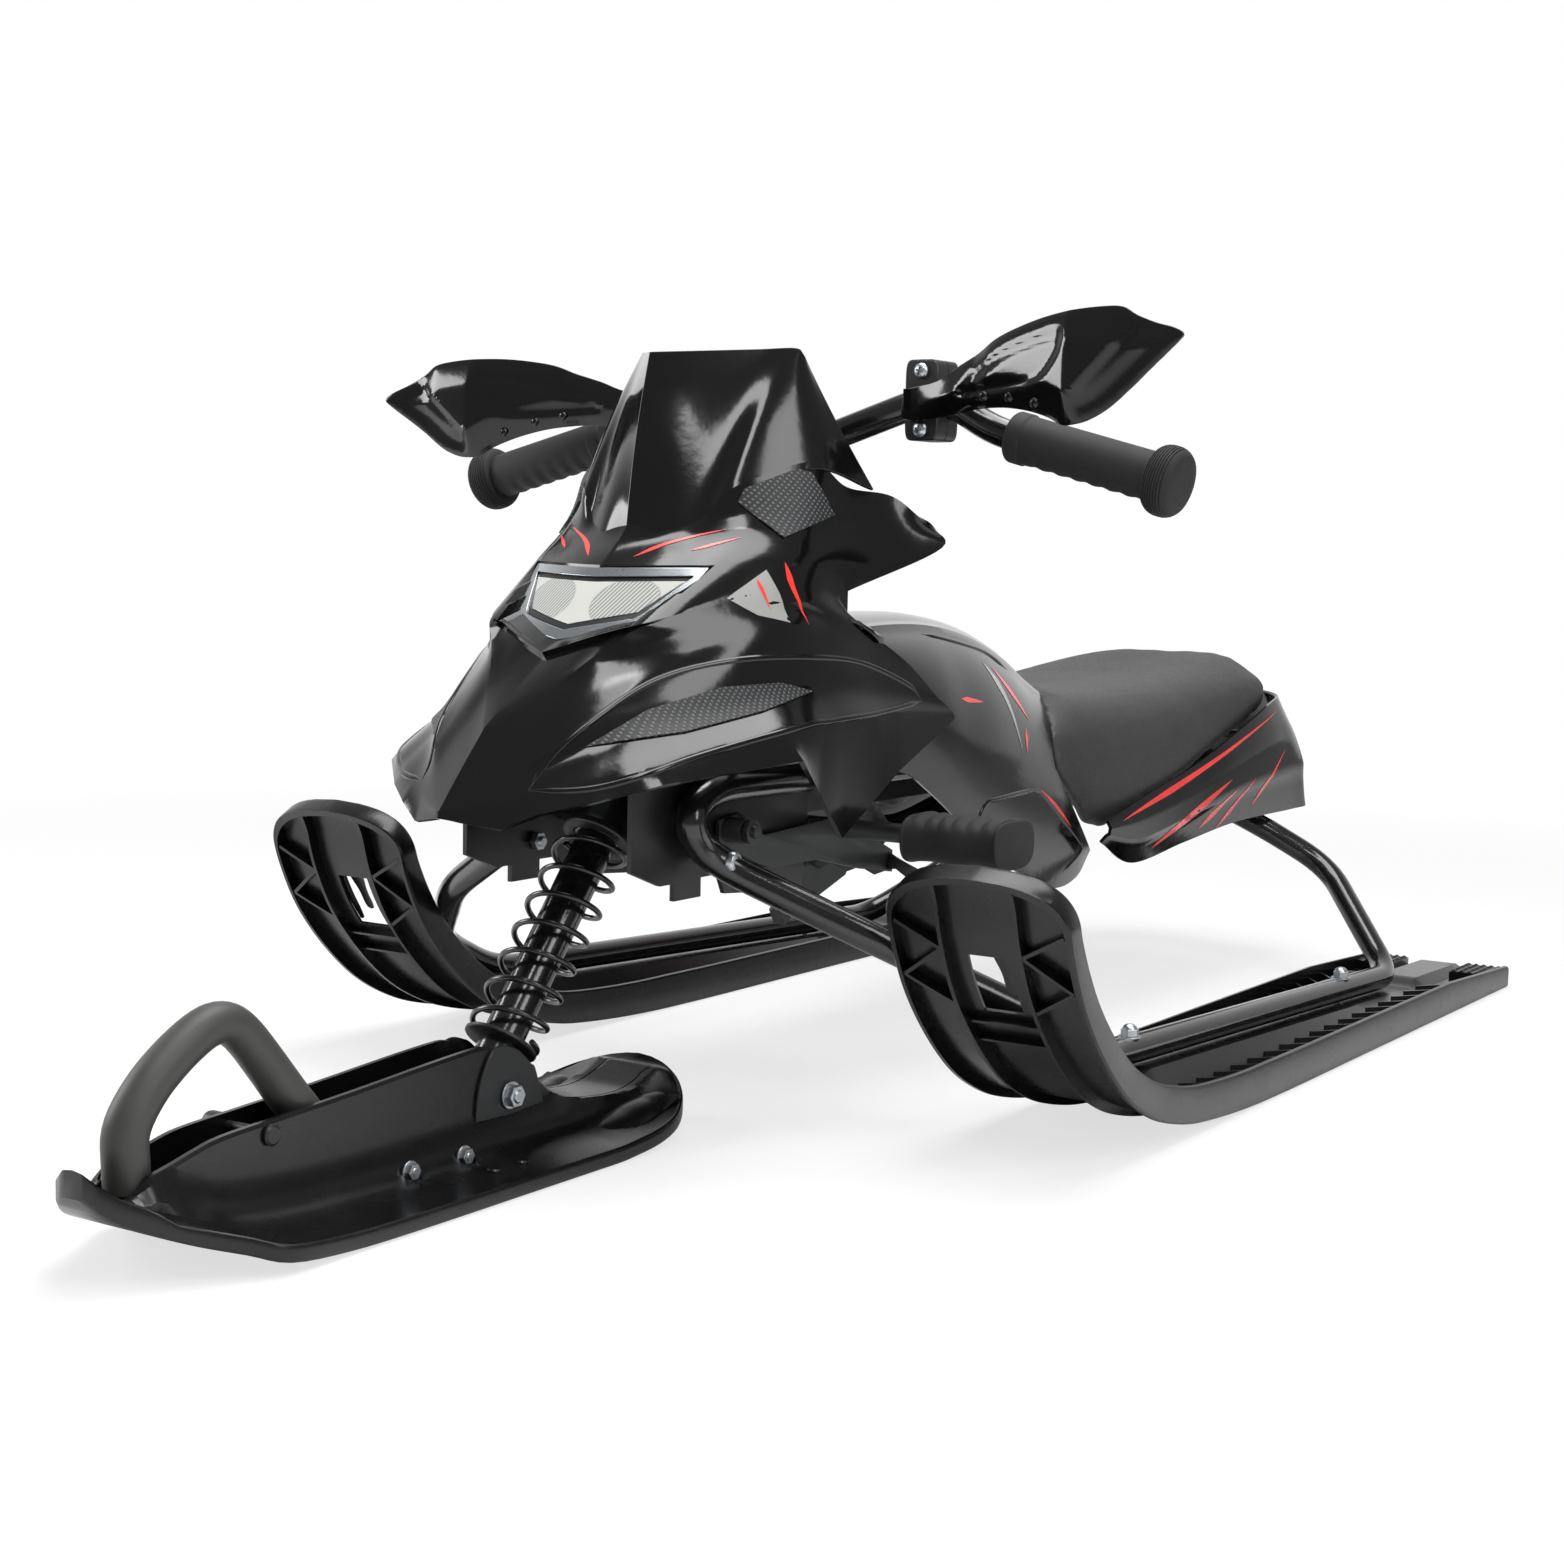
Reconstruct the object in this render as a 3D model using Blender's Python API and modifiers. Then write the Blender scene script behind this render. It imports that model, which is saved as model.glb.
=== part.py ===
# Steering sled: front ski on a sprung steering column, two rear skis on a bent tube frame,
# seat, body panels, handlebar and foot brake. Metres, Z up, the nose faces -Y, the rider's left is +X.
import bpy
import bmesh
import numpy as np
from math import pi, sin, cos, radians
from mathutils import Vector, Matrix
from mathutils.geometry import delaunay_2d_cdt

for old in list(bpy.data.objects):
    bpy.data.objects.remove(old, do_unlink=True)

# Driving dimensions
MID_Y = 0.0233                       # middle of the length, taken off every Y at the end
GAP = 0.0003                         # clearance between neighbouring pieces

# Steering column
COLUMN = Vector((0.0, -0.3148, 0.045))  # point on the column line, distances along it count from here
PIVOT = Vector((0.0, -0.3134, 0.0403))  # front ski pivot
RAKE = radians(38.7)                 # lean of the column back from vertical
AXIS = Vector((0.0, sin(RAKE), cos(RAKE)))
FORK_R = 0.0118                      # sliding tube
STEER_R = 0.0142                     # steering tube that it slides in
SLEEVE_R = 0.0178                    # sleeve on the frame
STEER_FROM, STEER_TO = 0.159, 0.415
SLEEVE_FROM, SLEEVE_TO = 0.192, 0.300
COIL_R = 0.0202                      # to the middle of the wire
WIRE_R = 0.0017
COIL_FROM, COIL_TO = 0.0265, 0.1565
COIL_TURNS = 7.5
PIVOT_R = 0.0040

# Handlebar
BAR_R = 0.0090
BAR_PATH = ((0.0, -0.0400, 0.3980), (0.020, -0.0400, 0.3990), (0.092, -0.0165, 0.4285),
            (0.112, -0.0125, 0.4290), (0.138, -0.0060, 0.4115), (0.2560, -0.0070, 0.3808))
GRIP_R = 0.0152
FLANGE_R = 0.0215
GRIP_FROM, GRIP_TO = 0.143, 0.2640

# Rear skis
SKI_X = 0.2334
SKI_HALF = 0.0567
TUBE_R = 0.0090
BEND = 0.026
DECK_T = 0.009
SKI_PROFILE = ((-0.187, 0.150), (-0.181, 0.127), (-0.165, 0.096), (-0.140, 0.066), (-0.108, 0.039),
               (-0.070, 0.0200), (-0.030, 0.0095), (0.010, 0.0055), (0.070, 0.0020), (0.14, 0.0),
               (0.24, 0.0), (0.36, 0.0), (0.48, 0.0), (0.54, 0.0), (0.590, 0.0))
RUN_FROM, RUN_TO = (0.000, 0.0396), (0.4713, 0.0197)

# Frame tube, left side: under the body, down to the ski, along it and up to the seat
FRAME_PATH = ((0.066, 0.160, 0.200), (0.066, -0.050, 0.201), (0.068, -0.200, 0.203), (0.073, -0.230, 0.187),
              (0.0702, -0.2026, 0.1634), (0.1550, -0.1619, 0.1215), (0.2334, -0.088, 0.0700),
              (0.2334, -0.030, 0.0409), (0.2334, RUN_TO[0], RUN_TO[1]), (0.152, 0.550, 0.0877),
              (0.100, 0.5365, 0.1179), (0.050, 0.529, 0.1400))

# Front ski
# Rows along it: y, underside z, half width, top z of the raised middle
FRONT_ROWS = ((-0.5965, 0.0420, 0.007, 0.0510), (-0.5930, 0.0365, 0.0155, 0.0535),
              (-0.5850, 0.0300, 0.0225, 0.0520), (-0.5730, 0.0240, 0.0305, 0.0475),
              (-0.5560, 0.0170, 0.0400, 0.0500), (-0.5380, 0.0110, 0.0520, 0.0545),
              (-0.5200, 0.0050, 0.0625, 0.0580), (-0.4800, 0.0010, 0.0625, 0.0605),
              (-0.4300, 0.0, 0.0625, 0.0635), (-0.3520, 0.0, 0.0625, 0.0690),
              (-0.3270, 0.0, 0.0625, 0.0685), (-0.3060, 0.0, 0.0625, 0.0590),
              (-0.2880, 0.0, 0.0625, 0.0460), (-0.2740, 0.0, 0.0625, 0.0350),
              (-0.2600, 0.0005, 0.0625, 0.0290), (-0.2330, 0.0030, 0.0620, 0.0250),
              (-0.2120, 0.0075, 0.0588, 0.0245), (-0.1960, 0.0135, 0.0503, 0.0280),
              (-0.1840, 0.0195, 0.0390, 0.0320), (-0.1750, 0.0245, 0.0240, 0.0355),
              (-0.1715, 0.0270, 0.0100, 0.0365))
WALL_X = 0.0165                      # outside of the upright walls
CHANNEL = 0.0125                     # half the space between the side plates
PLATE_T = 0.0022
HANDLE_R = 0.0112
HANDLE_PATH = ((-0.5650, 0.0395), (-0.5655, 0.052), (-0.5665, 0.068), (-0.553, 0.0855), (-0.534, 0.0995),
               (-0.515, 0.1090), (-0.502, 0.1085), (-0.491, 0.100), (-0.475, 0.081), (-0.462, 0.065),
               (-0.450, 0.051), (-0.4370, 0.034), (-0.4365, 0.0133))

# Rails of the middle frame under the seat
RAIL_LOW, RAIL_TOP = 0.1755, 0.1900

# Foot brake: hinge, pedal rod, and the toothed sheet behind it
BRAKE_Y, BRAKE_Z = -0.176, 0.177
BRAKE_R = 0.0060
PEDAL_Y, PEDAL_Z = -0.050, 0.1665
PEDAL = (0.1185, 0.1850, 0.050, 0.031)
ARM_X, SHEET_T = 0.0625, 0.0025
TEETH_Y = 0.0060

# Front panel: (half width, y, z) along its edge from the nose, and points inside it
HOOD_EDGE = ((0.000, -0.352, 0.196), (0.030, -0.336, 0.188), (0.050, -0.328, 0.195), (0.065, -0.314, 0.200),
             (0.095, -0.287, 0.211), (0.108, -0.268, 0.217), (0.122, -0.226, 0.222), (0.128, -0.195, 0.222),
             (0.128, -0.175, 0.199), (0.122, -0.146, 0.171), (0.125, -0.119, 0.196), (0.125, -0.078, 0.207),
             (0.125, -0.048, 0.222), (0.122, -0.015, 0.236), (0.118, -0.035, 0.251), (0.108, -0.059, 0.276),
             (0.100, -0.105, 0.298), (0.098, -0.107, 0.310), (0.105, -0.079, 0.321), (0.125, -0.042, 0.340),
             (0.120, -0.052, 0.354), (0.105, -0.068, 0.370), (0.095, -0.079, 0.378), (0.080, -0.115, 0.394),
             (0.055, -0.166, 0.377), (0.045, -0.161, 0.362), (0.020, -0.183, 0.353), (0.000, -0.189, 0.351),
             (0.000, -0.214, 0.324), (0.000, -0.247, 0.292), (0.000, -0.264, 0.279), (0.000, -0.314, 0.240))
HOOD_INSIDE = ((0.065, -0.184, 0.324), (0.045, -0.232, 0.293), (0.058, -0.196, 0.320), (0.045, -0.224, 0.299),
               (0.090, -0.160, 0.334), (0.070, -0.199, 0.308), (0.100, -0.152, 0.287), (0.060, -0.291, 0.250),
               (0.085, -0.214, 0.275), (0.105, -0.106, 0.273), (0.118, -0.041, 0.245), (0.105, -0.259, 0.228),
               (0.070, -0.303, 0.212))
POD = ((-0.299, 0.2330), (-0.262, 0.252), (-0.217, 0.263), (-0.179, 0.263), (-0.157, 0.257), (-0.200, 0.2475),
       (-0.250, 0.238))
SIDE_WINDOW = ((-0.160, 0.367), (-0.158, 0.374), (-0.126, 0.388), (-0.118, 0.385), (-0.108, 0.358),
               (-0.160, 0.334))

# Body panel behind the front panel: share of length, top z, lower z, half width
BODY_FROM, BODY_TO = -0.095, 0.295
BODY = ((0.00, 0.280, 0.203, 0.090), (0.12, 0.288, 0.203, 0.097), (0.25, 0.2935, 0.200, 0.100),
        (0.40, 0.296, 0.176, 0.101), (0.53, 0.295, 0.143, 0.100), (0.68, 0.287, 0.119, 0.098),
        (0.82, 0.272, 0.105, 0.094), (0.93, 0.254, 0.108, 0.090), (1.00, 0.243, 0.124, 0.086))

# Seat: share of length, centre height, shoulder height, seam height, half width
SEAT = ((0.00, 0.2410, 0.224, 0.152, 0.087), (0.08, 0.2365, 0.227, 0.150, 0.093),
        (0.20, 0.2350, 0.228, 0.157, 0.099), (0.36, 0.2375, 0.229, 0.168, 0.103),
        (0.54, 0.2400, 0.232, 0.182, 0.105), (0.72, 0.2465, 0.237, 0.199, 0.106),
        (0.86, 0.2530, 0.241, 0.213, 0.105), (0.95, 0.2555, 0.241, 0.221, 0.102),
        (1.00, 0.2520, 0.236, 0.226, 0.097))
SEAT_TO = 0.6000

# Tail panel: (x, y, z) of its lower and upper edge from the front to the middle of the back
TAIL_LOW = ((0.100, 0.240, 0.132), (0.101, 0.290, 0.113), (0.106, 0.370, 0.121), (0.110, 0.458, 0.129),
            (0.1085, 0.575, 0.129), (0.104, 0.619, 0.129), (0.070, 0.636, 0.130), (0.000, 0.643, 0.131))
TAIL_HIGH = ((0.1035, 0.243, 0.1485), (0.105, 0.300, 0.1615), (0.1065, 0.380, 0.1775),
             (0.1075, 0.455, 0.1975), (0.1055, 0.528, 0.2175), (0.094, 0.571, 0.2235),
             (0.056, 0.595, 0.2265), (0.000, 0.605, 0.2275))

# Windscreen: lower and upper edge from the fold in the middle to the side
SCREEN_LOW = ((0.000, -0.189, 0.3518), (0.020, -0.183, 0.3538), (0.044, -0.163, 0.3628),
              (0.055, -0.1662, 0.3780), (0.080, -0.1150, 0.3948), (0.095, -0.0790, 0.3788))
SCREEN_HIGH = ((0.000, -0.170, 0.4498), (0.022, -0.1432, 0.4523), (0.042, -0.1190, 0.4546),
               (0.056, -0.102, 0.4562), (0.0595, -0.098, 0.4530), (0.0605, -0.094, 0.4470))

# Hand guards: edge points (x, z), depth across the width, and the tilt about the clamp, up on the left
CLAMP = Vector((0.1000, -0.0155, 0.4290))
GUARD_X = (0.06, 0.09, 0.146, 0.158, 0.19, 0.22, 0.26, 0.30)
GUARD_Y = (-0.0295, -0.0318, -0.0445, -0.050, -0.060, -0.070, -0.0705, -0.078)
GUARD_TILT = 0.07
GUARD = ((0.090, 0.4365), (0.116, 0.4385), (0.134, 0.4460), (0.150, 0.4520), (0.163, 0.4580),
         (0.178, 0.4620), (0.199, 0.4655), (0.222, 0.4670), (0.240, 0.4670), (0.253, 0.4655),
         (0.262, 0.4600), (0.274, 0.4545), (0.287, 0.4500), (0.2925, 0.4460), (0.2885, 0.4410),
         (0.268, 0.4260), (0.2485, 0.4110), (0.2355, 0.4045), (0.225, 0.4022), (0.216, 0.4025),
         (0.205, 0.4080), (0.190, 0.4130), (0.173, 0.4165), (0.158, 0.4178), (0.143, 0.4180),
         (0.123, 0.4165), (0.090, 0.4180))

# Seat base: half width, front, back; and its ears that carry the tail panel
BOARD = (0.072, 0.345, 0.560)
EARS = (0.1072, 0.513, 0.538)
BOARD_T = 0.0060

# Materials
ZINC = (0.6, 0.6, 0.6)


def material(name, colour, roughness, metallic=0.0):
    mat = bpy.data.materials.new(name)
    mat.use_nodes = True
    shader = mat.node_tree.nodes["Principled BSDF"]
    shader.inputs["Base Color"].default_value = (*colour, 1.0)
    shader.inputs["Roughness"].default_value = roughness
    shader.inputs["Metallic"].default_value = metallic
    return mat


# Collections
sled = bpy.data.collections.new("steering_sled")
cutters = bpy.data.collections.new("cutters")
bpy.context.scene.collection.children.link(sled)
bpy.context.scene.collection.children.link(cutters)
cutters.hide_render = True


def add(name, bm, colour=None, roughness=0.4, metallic=0.0, smooth=True, cutter=False):
    bmesh.ops.recalc_face_normals(bm, faces=bm.faces)
    if bm.calc_volume(signed=True) < 0:
        bmesh.ops.reverse_faces(bm, faces=bm.faces)
    if smooth:
        for face in bm.faces:
            face.smooth = True
    mesh = bpy.data.meshes.new(name)
    bm.to_mesh(mesh)
    bm.free()
    obj = bpy.data.objects.new(name, mesh)
    if cutter:
        cutters.objects.link(obj)
        obj.hide_render = True
        obj.display_type = "WIRE"
    else:
        sled.objects.link(obj)
        mesh.materials.append(material(name, colour, roughness, metallic))
    return obj


def frame_for(direction):
    return Vector(direction).normalized().to_track_quat("Z", "Y").to_matrix()


def rod(start, end, radius, sides=16, radius_end=None, turn=0.0):
    bm = bmesh.new()
    start, end = Vector(start), Vector(end)
    basis = frame_for(end - start)
    rings = []
    for point, r in ((start, radius), (end, radius if radius_end is None else radius_end)):
        ring = []
        for k in range(sides):
            angle = 2 * pi * k / sides + turn
            ring.append(bm.verts.new(point + basis @ Vector((r * cos(angle), r * sin(angle), 0))))
        rings.append(ring)
    for k in range(sides):
        bm.faces.new((rings[0][k], rings[0][(k + 1) % sides], rings[1][(k + 1) % sides], rings[1][k]))
    bm.faces.new(rings[0][::-1])
    bm.faces.new(rings[1])
    return bm


def box(x0, x1, y0, y1, z0, z1):
    bm = bmesh.new()
    bmesh.ops.create_cube(bm, size=1.0)
    for v in bm.verts:
        share = v.co + Vector((0.5, 0.5, 0.5))
        v.co = Vector((x0 + share.x * (x1 - x0), y0 + share.y * (y1 - y0), z0 + share.z * (z1 - z0)))
    return bm


def prism(points, x0, x1):
    """A plate: an outline of (y, z) points taken from x0 to x1."""
    bm = bmesh.new()
    near = [bm.verts.new((x0, y, z)) for y, z in points]
    far = [bm.verts.new((x1, y, z)) for y, z in points]
    bm.faces.new(near)
    bm.faces.new(far[::-1])
    for k in range(len(points)):
        j = (k + 1) % len(points)
        bm.faces.new((near[j], near[k], far[k], far[j]))
    return bm


def loft(rings):
    bm = bmesh.new()
    rows = [[bm.verts.new(p) for p in ring] for ring in rings]
    count = len(rows[0])
    for a, b in zip(rows, rows[1:]):
        for k in range(count):
            j = (k + 1) % count
            bm.faces.new((a[k], a[j], b[j], b[k]))
    bm.faces.new(rows[0][::-1])
    bm.faces.new(rows[-1])
    return bm


def spine(points, bend, steps=5):
    """The polyline with each corner rounded to at most the given bend length."""
    points = [Vector(p) for p in points]
    out = [points[0]]
    for before, here, after in zip(points, points[1:], points[2:]):
        a = min(bend, 0.48 * (here - before).length)
        b = min(bend, 0.48 * (after - here).length)
        p = here + (before - here).normalized() * a
        q = here + (after - here).normalized() * b
        if (here - before).angle(after - here) < 0.10:
            out.append(here)
            continue
        for k in range(steps + 1):
            t = k / steps
            out.append(p * (1 - t) ** 2 + here * 2 * t * (1 - t) + q * t * t)
    out.append(points[-1])
    return out


def tube(points, radius, sides=12):
    """A round bar along the points, as one closed mesh with square ends."""
    points = [Vector(p) for p in points]
    tangents = []
    for k in range(len(points)):
        a = points[max(k - 1, 0)]
        b = points[min(k + 1, len(points) - 1)]
        tangents.append((b - a).normalized())
    side = tangents[0].orthogonal().normalized()
    rings = []
    for point, tangent in zip(points, tangents):
        side = (side - tangent * side.dot(tangent)).normalized()
        other = tangent.cross(side)
        rings.append([point + radius * (cos(2 * pi * k / sides) * side + sin(2 * pi * k / sides) * other)
                      for k in range(sides)])
    return loft(rings)


def boolean(obj, other, kind="DIFFERENCE"):
    """Applies the Boolean at once and drops the other object."""
    mod = obj.modifiers.new("cut", "BOOLEAN")
    mod.operation = kind
    mod.solver = "EXACT"
    mod.object = other
    bpy.context.view_layer.update()
    graph = bpy.context.evaluated_depsgraph_get()
    mesh = bpy.data.meshes.new_from_object(obj.evaluated_get(graph))
    mats = list(obj.data.materials)
    old = obj.data
    obj.modifiers.clear()
    obj.data = mesh
    mesh.name = obj.name
    if not mesh.materials:
        for m in mats:
            mesh.materials.append(m)
    bpy.data.meshes.remove(old)
    bpy.data.objects.remove(other, do_unlink=True)


def cut(obj, bm):
    boolean(obj, add("cutter", bm, cutter=True, smooth=False))


def join(obj, bm):
    boolean(obj, add("addition", bm, cutter=True, smooth=False), "UNION")


def on_axis(t):
    return COLUMN + AXIS * t


def lerp(table, t, key=0):
    table = np.array(table, float)
    return [float(np.interp(t, table[:, key], table[:, c])) for c in range(table.shape[1]) if c != key]


# Height field through scattered points
def surface_through(points):
    points = np.array(points, float)
    y, z, x = points[:, 1], points[:, 2], points[:, 0]
    sites = np.stack([y, z], 1)

    def kernel(a, b):
        d2 = ((a[:, None] - b[None]) ** 2).sum(-1)
        return 0.5 * d2 * np.log(d2 + 1e-12)
    n = len(x)
    matrix = np.zeros((n + 3, n + 3))
    matrix[:n, :n] = kernel(sites, sites) + 2e-5 * np.eye(n)
    matrix[:n, n] = 1
    matrix[:n, n + 1:n + 3] = sites
    matrix[n:, :n] = matrix[:n, n:].T
    weights = np.linalg.solve(matrix, np.concatenate([x, np.zeros(3)]))

    def height(q):
        q = np.atleast_2d(np.array(q, float))
        return kernel(q, sites) @ weights[:n] + weights[n] + q @ weights[n + 1:n + 3]
    return height


def triangulated(outline, step, inset=0.6):
    """Points and triangles that fill an outline, with a grid of points inside it."""
    outline = np.array(outline, float)
    pieces = []
    for a, b in zip(outline, np.roll(outline, -1, axis=0)):
        n = max(1, int(round(np.linalg.norm(b - a) / step)))
        pieces += [a + (b - a) * k / n for k in range(n)]
    edge = np.array(pieces)

    def inside(p):
        x, y = edge[:, 0], edge[:, 1]
        x2, y2 = np.roll(x, -1), np.roll(y, -1)
        crossing = ((y > p[1]) != (y2 > p[1])) & (p[0] < (x2 - x) * (p[1] - y) / (y2 - y + 1e-15) + x)
        return crossing.sum() % 2 == 1
    low, high = edge.min(0), edge.max(0)
    grid = []
    for i, v in enumerate(np.arange(low[1] + step / 2, high[1], step * 0.87)):
        for u in np.arange(low[0] + (step / 2 if i % 2 else 0), high[0], step):
            p = np.array((u, v))
            if inside(p) and np.linalg.norm(edge - p, axis=1).min() > inset * step:
                grid.append(p)
    n = len(edge)
    coords = [Vector(p) for p in list(edge) + grid]
    edges = [(k, (k + 1) % n) for k in range(n)]
    verts, _, faces, *_ = delaunay_2d_cdt(coords, edges, [], 1, 1e-6)
    return np.array([tuple(v) for v in verts]), faces


def outward(bm, centre):
    """Turns an open surface so that its normals point away from the centre."""
    bmesh.ops.remove_doubles(bm, verts=bm.verts, dist=1e-6)
    bmesh.ops.recalc_face_normals(bm, faces=bm.faces)
    total = sum((f.calc_center_median() - Vector(centre)).dot(f.normal) * f.calc_area() for f in bm.faces)
    if total < 0:
        bmesh.ops.reverse_faces(bm, faces=bm.faces)
    bm.normal_update()
    return bm


def shell(bm, thickness, centre):
    outward(bm, centre)
    outer = list(bm.verts)
    edges = [(e.link_loops[0].vert, e.link_loops[0].link_loop_next.vert) for e in bm.edges if e.is_boundary]
    faces = [list(f.verts) for f in bm.faces]
    twin = {v: bm.verts.new(v.co - v.normal * thickness) for v in outer}
    for f in faces:
        bm.faces.new([twin[v] for v in reversed(f)])
    for a, b in edges:
        bm.faces.new((b, a, twin[a], twin[b]))
    return bm


# Frame tubes
def mirror_path(path, side):
    return [(side * x, y, z) for x, y, z in path]


BLACK = (0.012, 0.012, 0.013)
PLASTIC = (0.020, 0.020, 0.021)
for side, label in ((1, "left"), (-1, "right")):
    path = spine(mirror_path(FRAME_PATH, side), BEND, 3)
    add(f"frame_tube_{label}", tube(path, TUBE_R, 10), BLACK, 0.15)


# Rear skis
def ski_section(y, zb, half, wall, deck, crown):
    """Half outline from the bottom middle out and over to the top middle."""
    return [(0.0, zb), (half * 0.6, zb), (half - 0.0015, zb), (half, zb + 0.0015), (half, zb + wall),
            (half - 0.004, zb + wall), (half - 0.0055, zb + deck), (0.021, zb + deck), (0.016, zb + crown),
            (0.0, zb + crown)]


def run_height(y):
    """Middle of the frame tube over the ski at y."""
    share = (y - RUN_FROM[0]) / (RUN_TO[0] - RUN_FROM[0])
    return RUN_FROM[1] + (RUN_TO[1] - RUN_FROM[1]) * share


def rear_ski_rings(side):
    profile = np.array(SKI_PROFILE)
    rings = []
    tangent = np.gradient(profile, axis=0)
    tangent /= np.linalg.norm(tangent, axis=1)[:, None]
    tip = [(-0.1955, 0.1655, 0.010), (-0.1945, 0.1610, 0.030), (-0.1915, 0.1570, 0.046)]
    rows = [(y, z, 0.0, w) for y, z, w in tip]
    for (y, z) in profile:
        rows.append((y, z, 0.0, SKI_HALF))
    ys = np.array([r[0] for r in rows])
    zs = np.array([r[1] for r in rows])
    dy, dz = np.gradient(ys), np.gradient(zs)
    norm = np.sqrt(dy ** 2 + dz ** 2)
    up_y, up_z = -dz / norm, dy / norm
    for k, (y, z, _, half) in enumerate(rows):
        wall = float(np.interp(y, (-0.19, -0.05, 0.1, 0.45, 0.59), (0.016, 0.022, 0.0245, 0.0235, 0.0165)))
        crown = max(DECK_T + 0.001, run_height(y) - TUBE_R - 0.0009 - z) if y > -0.02 else DECK_T + 0.001
        if y > 0.47:
            crown = float(np.interp(y, (0.495, 0.505, 0.59), (0.0100, 0.0170, 0.0145)))
        if half < 0.022:
            pts = [(0.0, 0.0), (half * 0.6, 0.0), (half - 0.0015, 0.0), (half, 0.0015), (half, wall),
                   (half - 0.001, wall), (half - 0.002, DECK_T), (half * 0.5, DECK_T),
                   (half * 0.4, DECK_T + 0.001), (0.0, DECK_T + 0.001)]
        else:
            pts = ski_section(y, 0.0, half, wall, DECK_T, crown)
        full = [(x, h) for x, h in pts] + [(-x, h) for x, h in pts[-2:0:-1]]
        rings.append([(side * SKI_X + x, y + up_y[k] * h, z + up_z[k] * h) for x, h in full])
    return rings


for side, label in ((1, "left"), (-1, "right")):
    ski = add(f"rear_ski_{label}", loft(rear_ski_rings(side)), PLASTIC, 0.38, smooth=False)
    x = side * SKI_X
    slot = box(x - 0.010, x + 0.010, -0.03, 0.03, -0.03, 0.03)
    turn = Matrix.Rotation(radians(-62), 4, "X")
    for v in slot.verts:
        v.co = turn @ (v.co - Vector((x, 0, 0))) + Vector((x, -0.166, 0.106))
    cut(ski, slot)
    cut(ski, tube(spine(mirror_path(FRAME_PATH, side), BEND, 3), TUBE_R + 0.0006, 12))

# Ski bolts through tube and ski
for side, label in ((1, "left"), (-1, "right")):
    for y, place in ((0.012, "front"), (0.369, "rear")):
        x = side * SKI_X
        centre = run_height(y)
        for target in (f"frame_tube_{label}", f"rear_ski_{label}"):
            cut(bpy.data.objects[target], rod((x, y, -0.01), (x, y, 0.08), 0.0033, 12))
        low = 0.0055 if place == "front" else 0.0
        cut(bpy.data.objects[f"rear_ski_{label}"], rod((x, y, -0.01), (x, y, low + 0.0062), 0.0068, 12))
        seat_z = centre + 0.0078
        flat = box(x - 0.02, x + 0.02, y - 0.0095, y + 0.0095, seat_z, seat_z + 0.02)
        cut(bpy.data.objects[f"frame_tube_{label}"], flat)
        shank = add(f"ski_bolt_{label}_{place}", rod((x, y, low + 0.0022), (x, y, seat_z + 0.0085), 0.0030, 12),
                    ZINC, 0.3, 1.0, smooth=False)
        join(shank, rod((x, y, low + 0.0020), (x, y, low + 0.0059), 0.0064, 12))
        join(shank, rod((x, y, seat_z + GAP), (x, y, seat_z + 0.0058), 0.0062, 6))

# Front ski
def front_ski_rings():
    rings = []
    for y, z, half, top in FRONT_ROWS:
        rim = 0.0090 if y > -0.57 else 0.0125
        if half < 0.030:
            xs = [half * 0.90, half * 0.75, half * 0.60, half * 0.45, half * 0.30, half * 0.15]
            hs = [rim + 0.0003, rim + 0.0006, rim + 0.0008, rim + 0.0009, rim + 0.0010, rim + 0.0010]
        else:
            rise = top - z
            low = min(0.0115, rise - 0.0006)
            share = max(rise - 0.0115, 0.0)
            xs = [half - 0.004, 0.58 * half + 0.42 * WALL_X, WALL_X + 0.0095, WALL_X + 0.0035, WALL_X, WALL_X]
            steps = [low + min(step, share) for step in (0.0045, 0.0100, 0.0165)]
            hs = [min(0.0100, low), low, *steps, max(rise, low)]
            for k in range(1, 6):
                hs[k] = max(hs[k], hs[k - 1] + 0.0001)
        pts = [(0.0, 0.0), (half * 0.6, 0.0), (half - 0.0012, 0.0), (half, 0.0015), (half, rim)]
        pts += list(zip(xs, hs))
        pts.append((0.0, hs[-1]))
        full = pts + [(-x, h) for x, h in pts[-2:0:-1]]
        rings.append([(x, y, z + h) for x, h in full])
    return rings


front_ski = add("front_ski", loft(front_ski_rings()), PLASTIC, 0.38)
# Open channel between the upright walls, for the handle and the lower end of the column
cut(front_ski, prism([(-0.5790, 0.1), (-0.5790, 0.0400), (-0.552, 0.0290), (-0.525, 0.0175), (-0.495, 0.0125),
                      (-0.262, 0.0125), (-0.262, 0.1)], -CHANNEL, CHANNEL))
cut(front_ski, rod((-0.1, PIVOT.y, PIVOT.z), (0.1, PIVOT.y, PIVOT.z), PIVOT_R + GAP, 16))

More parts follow.
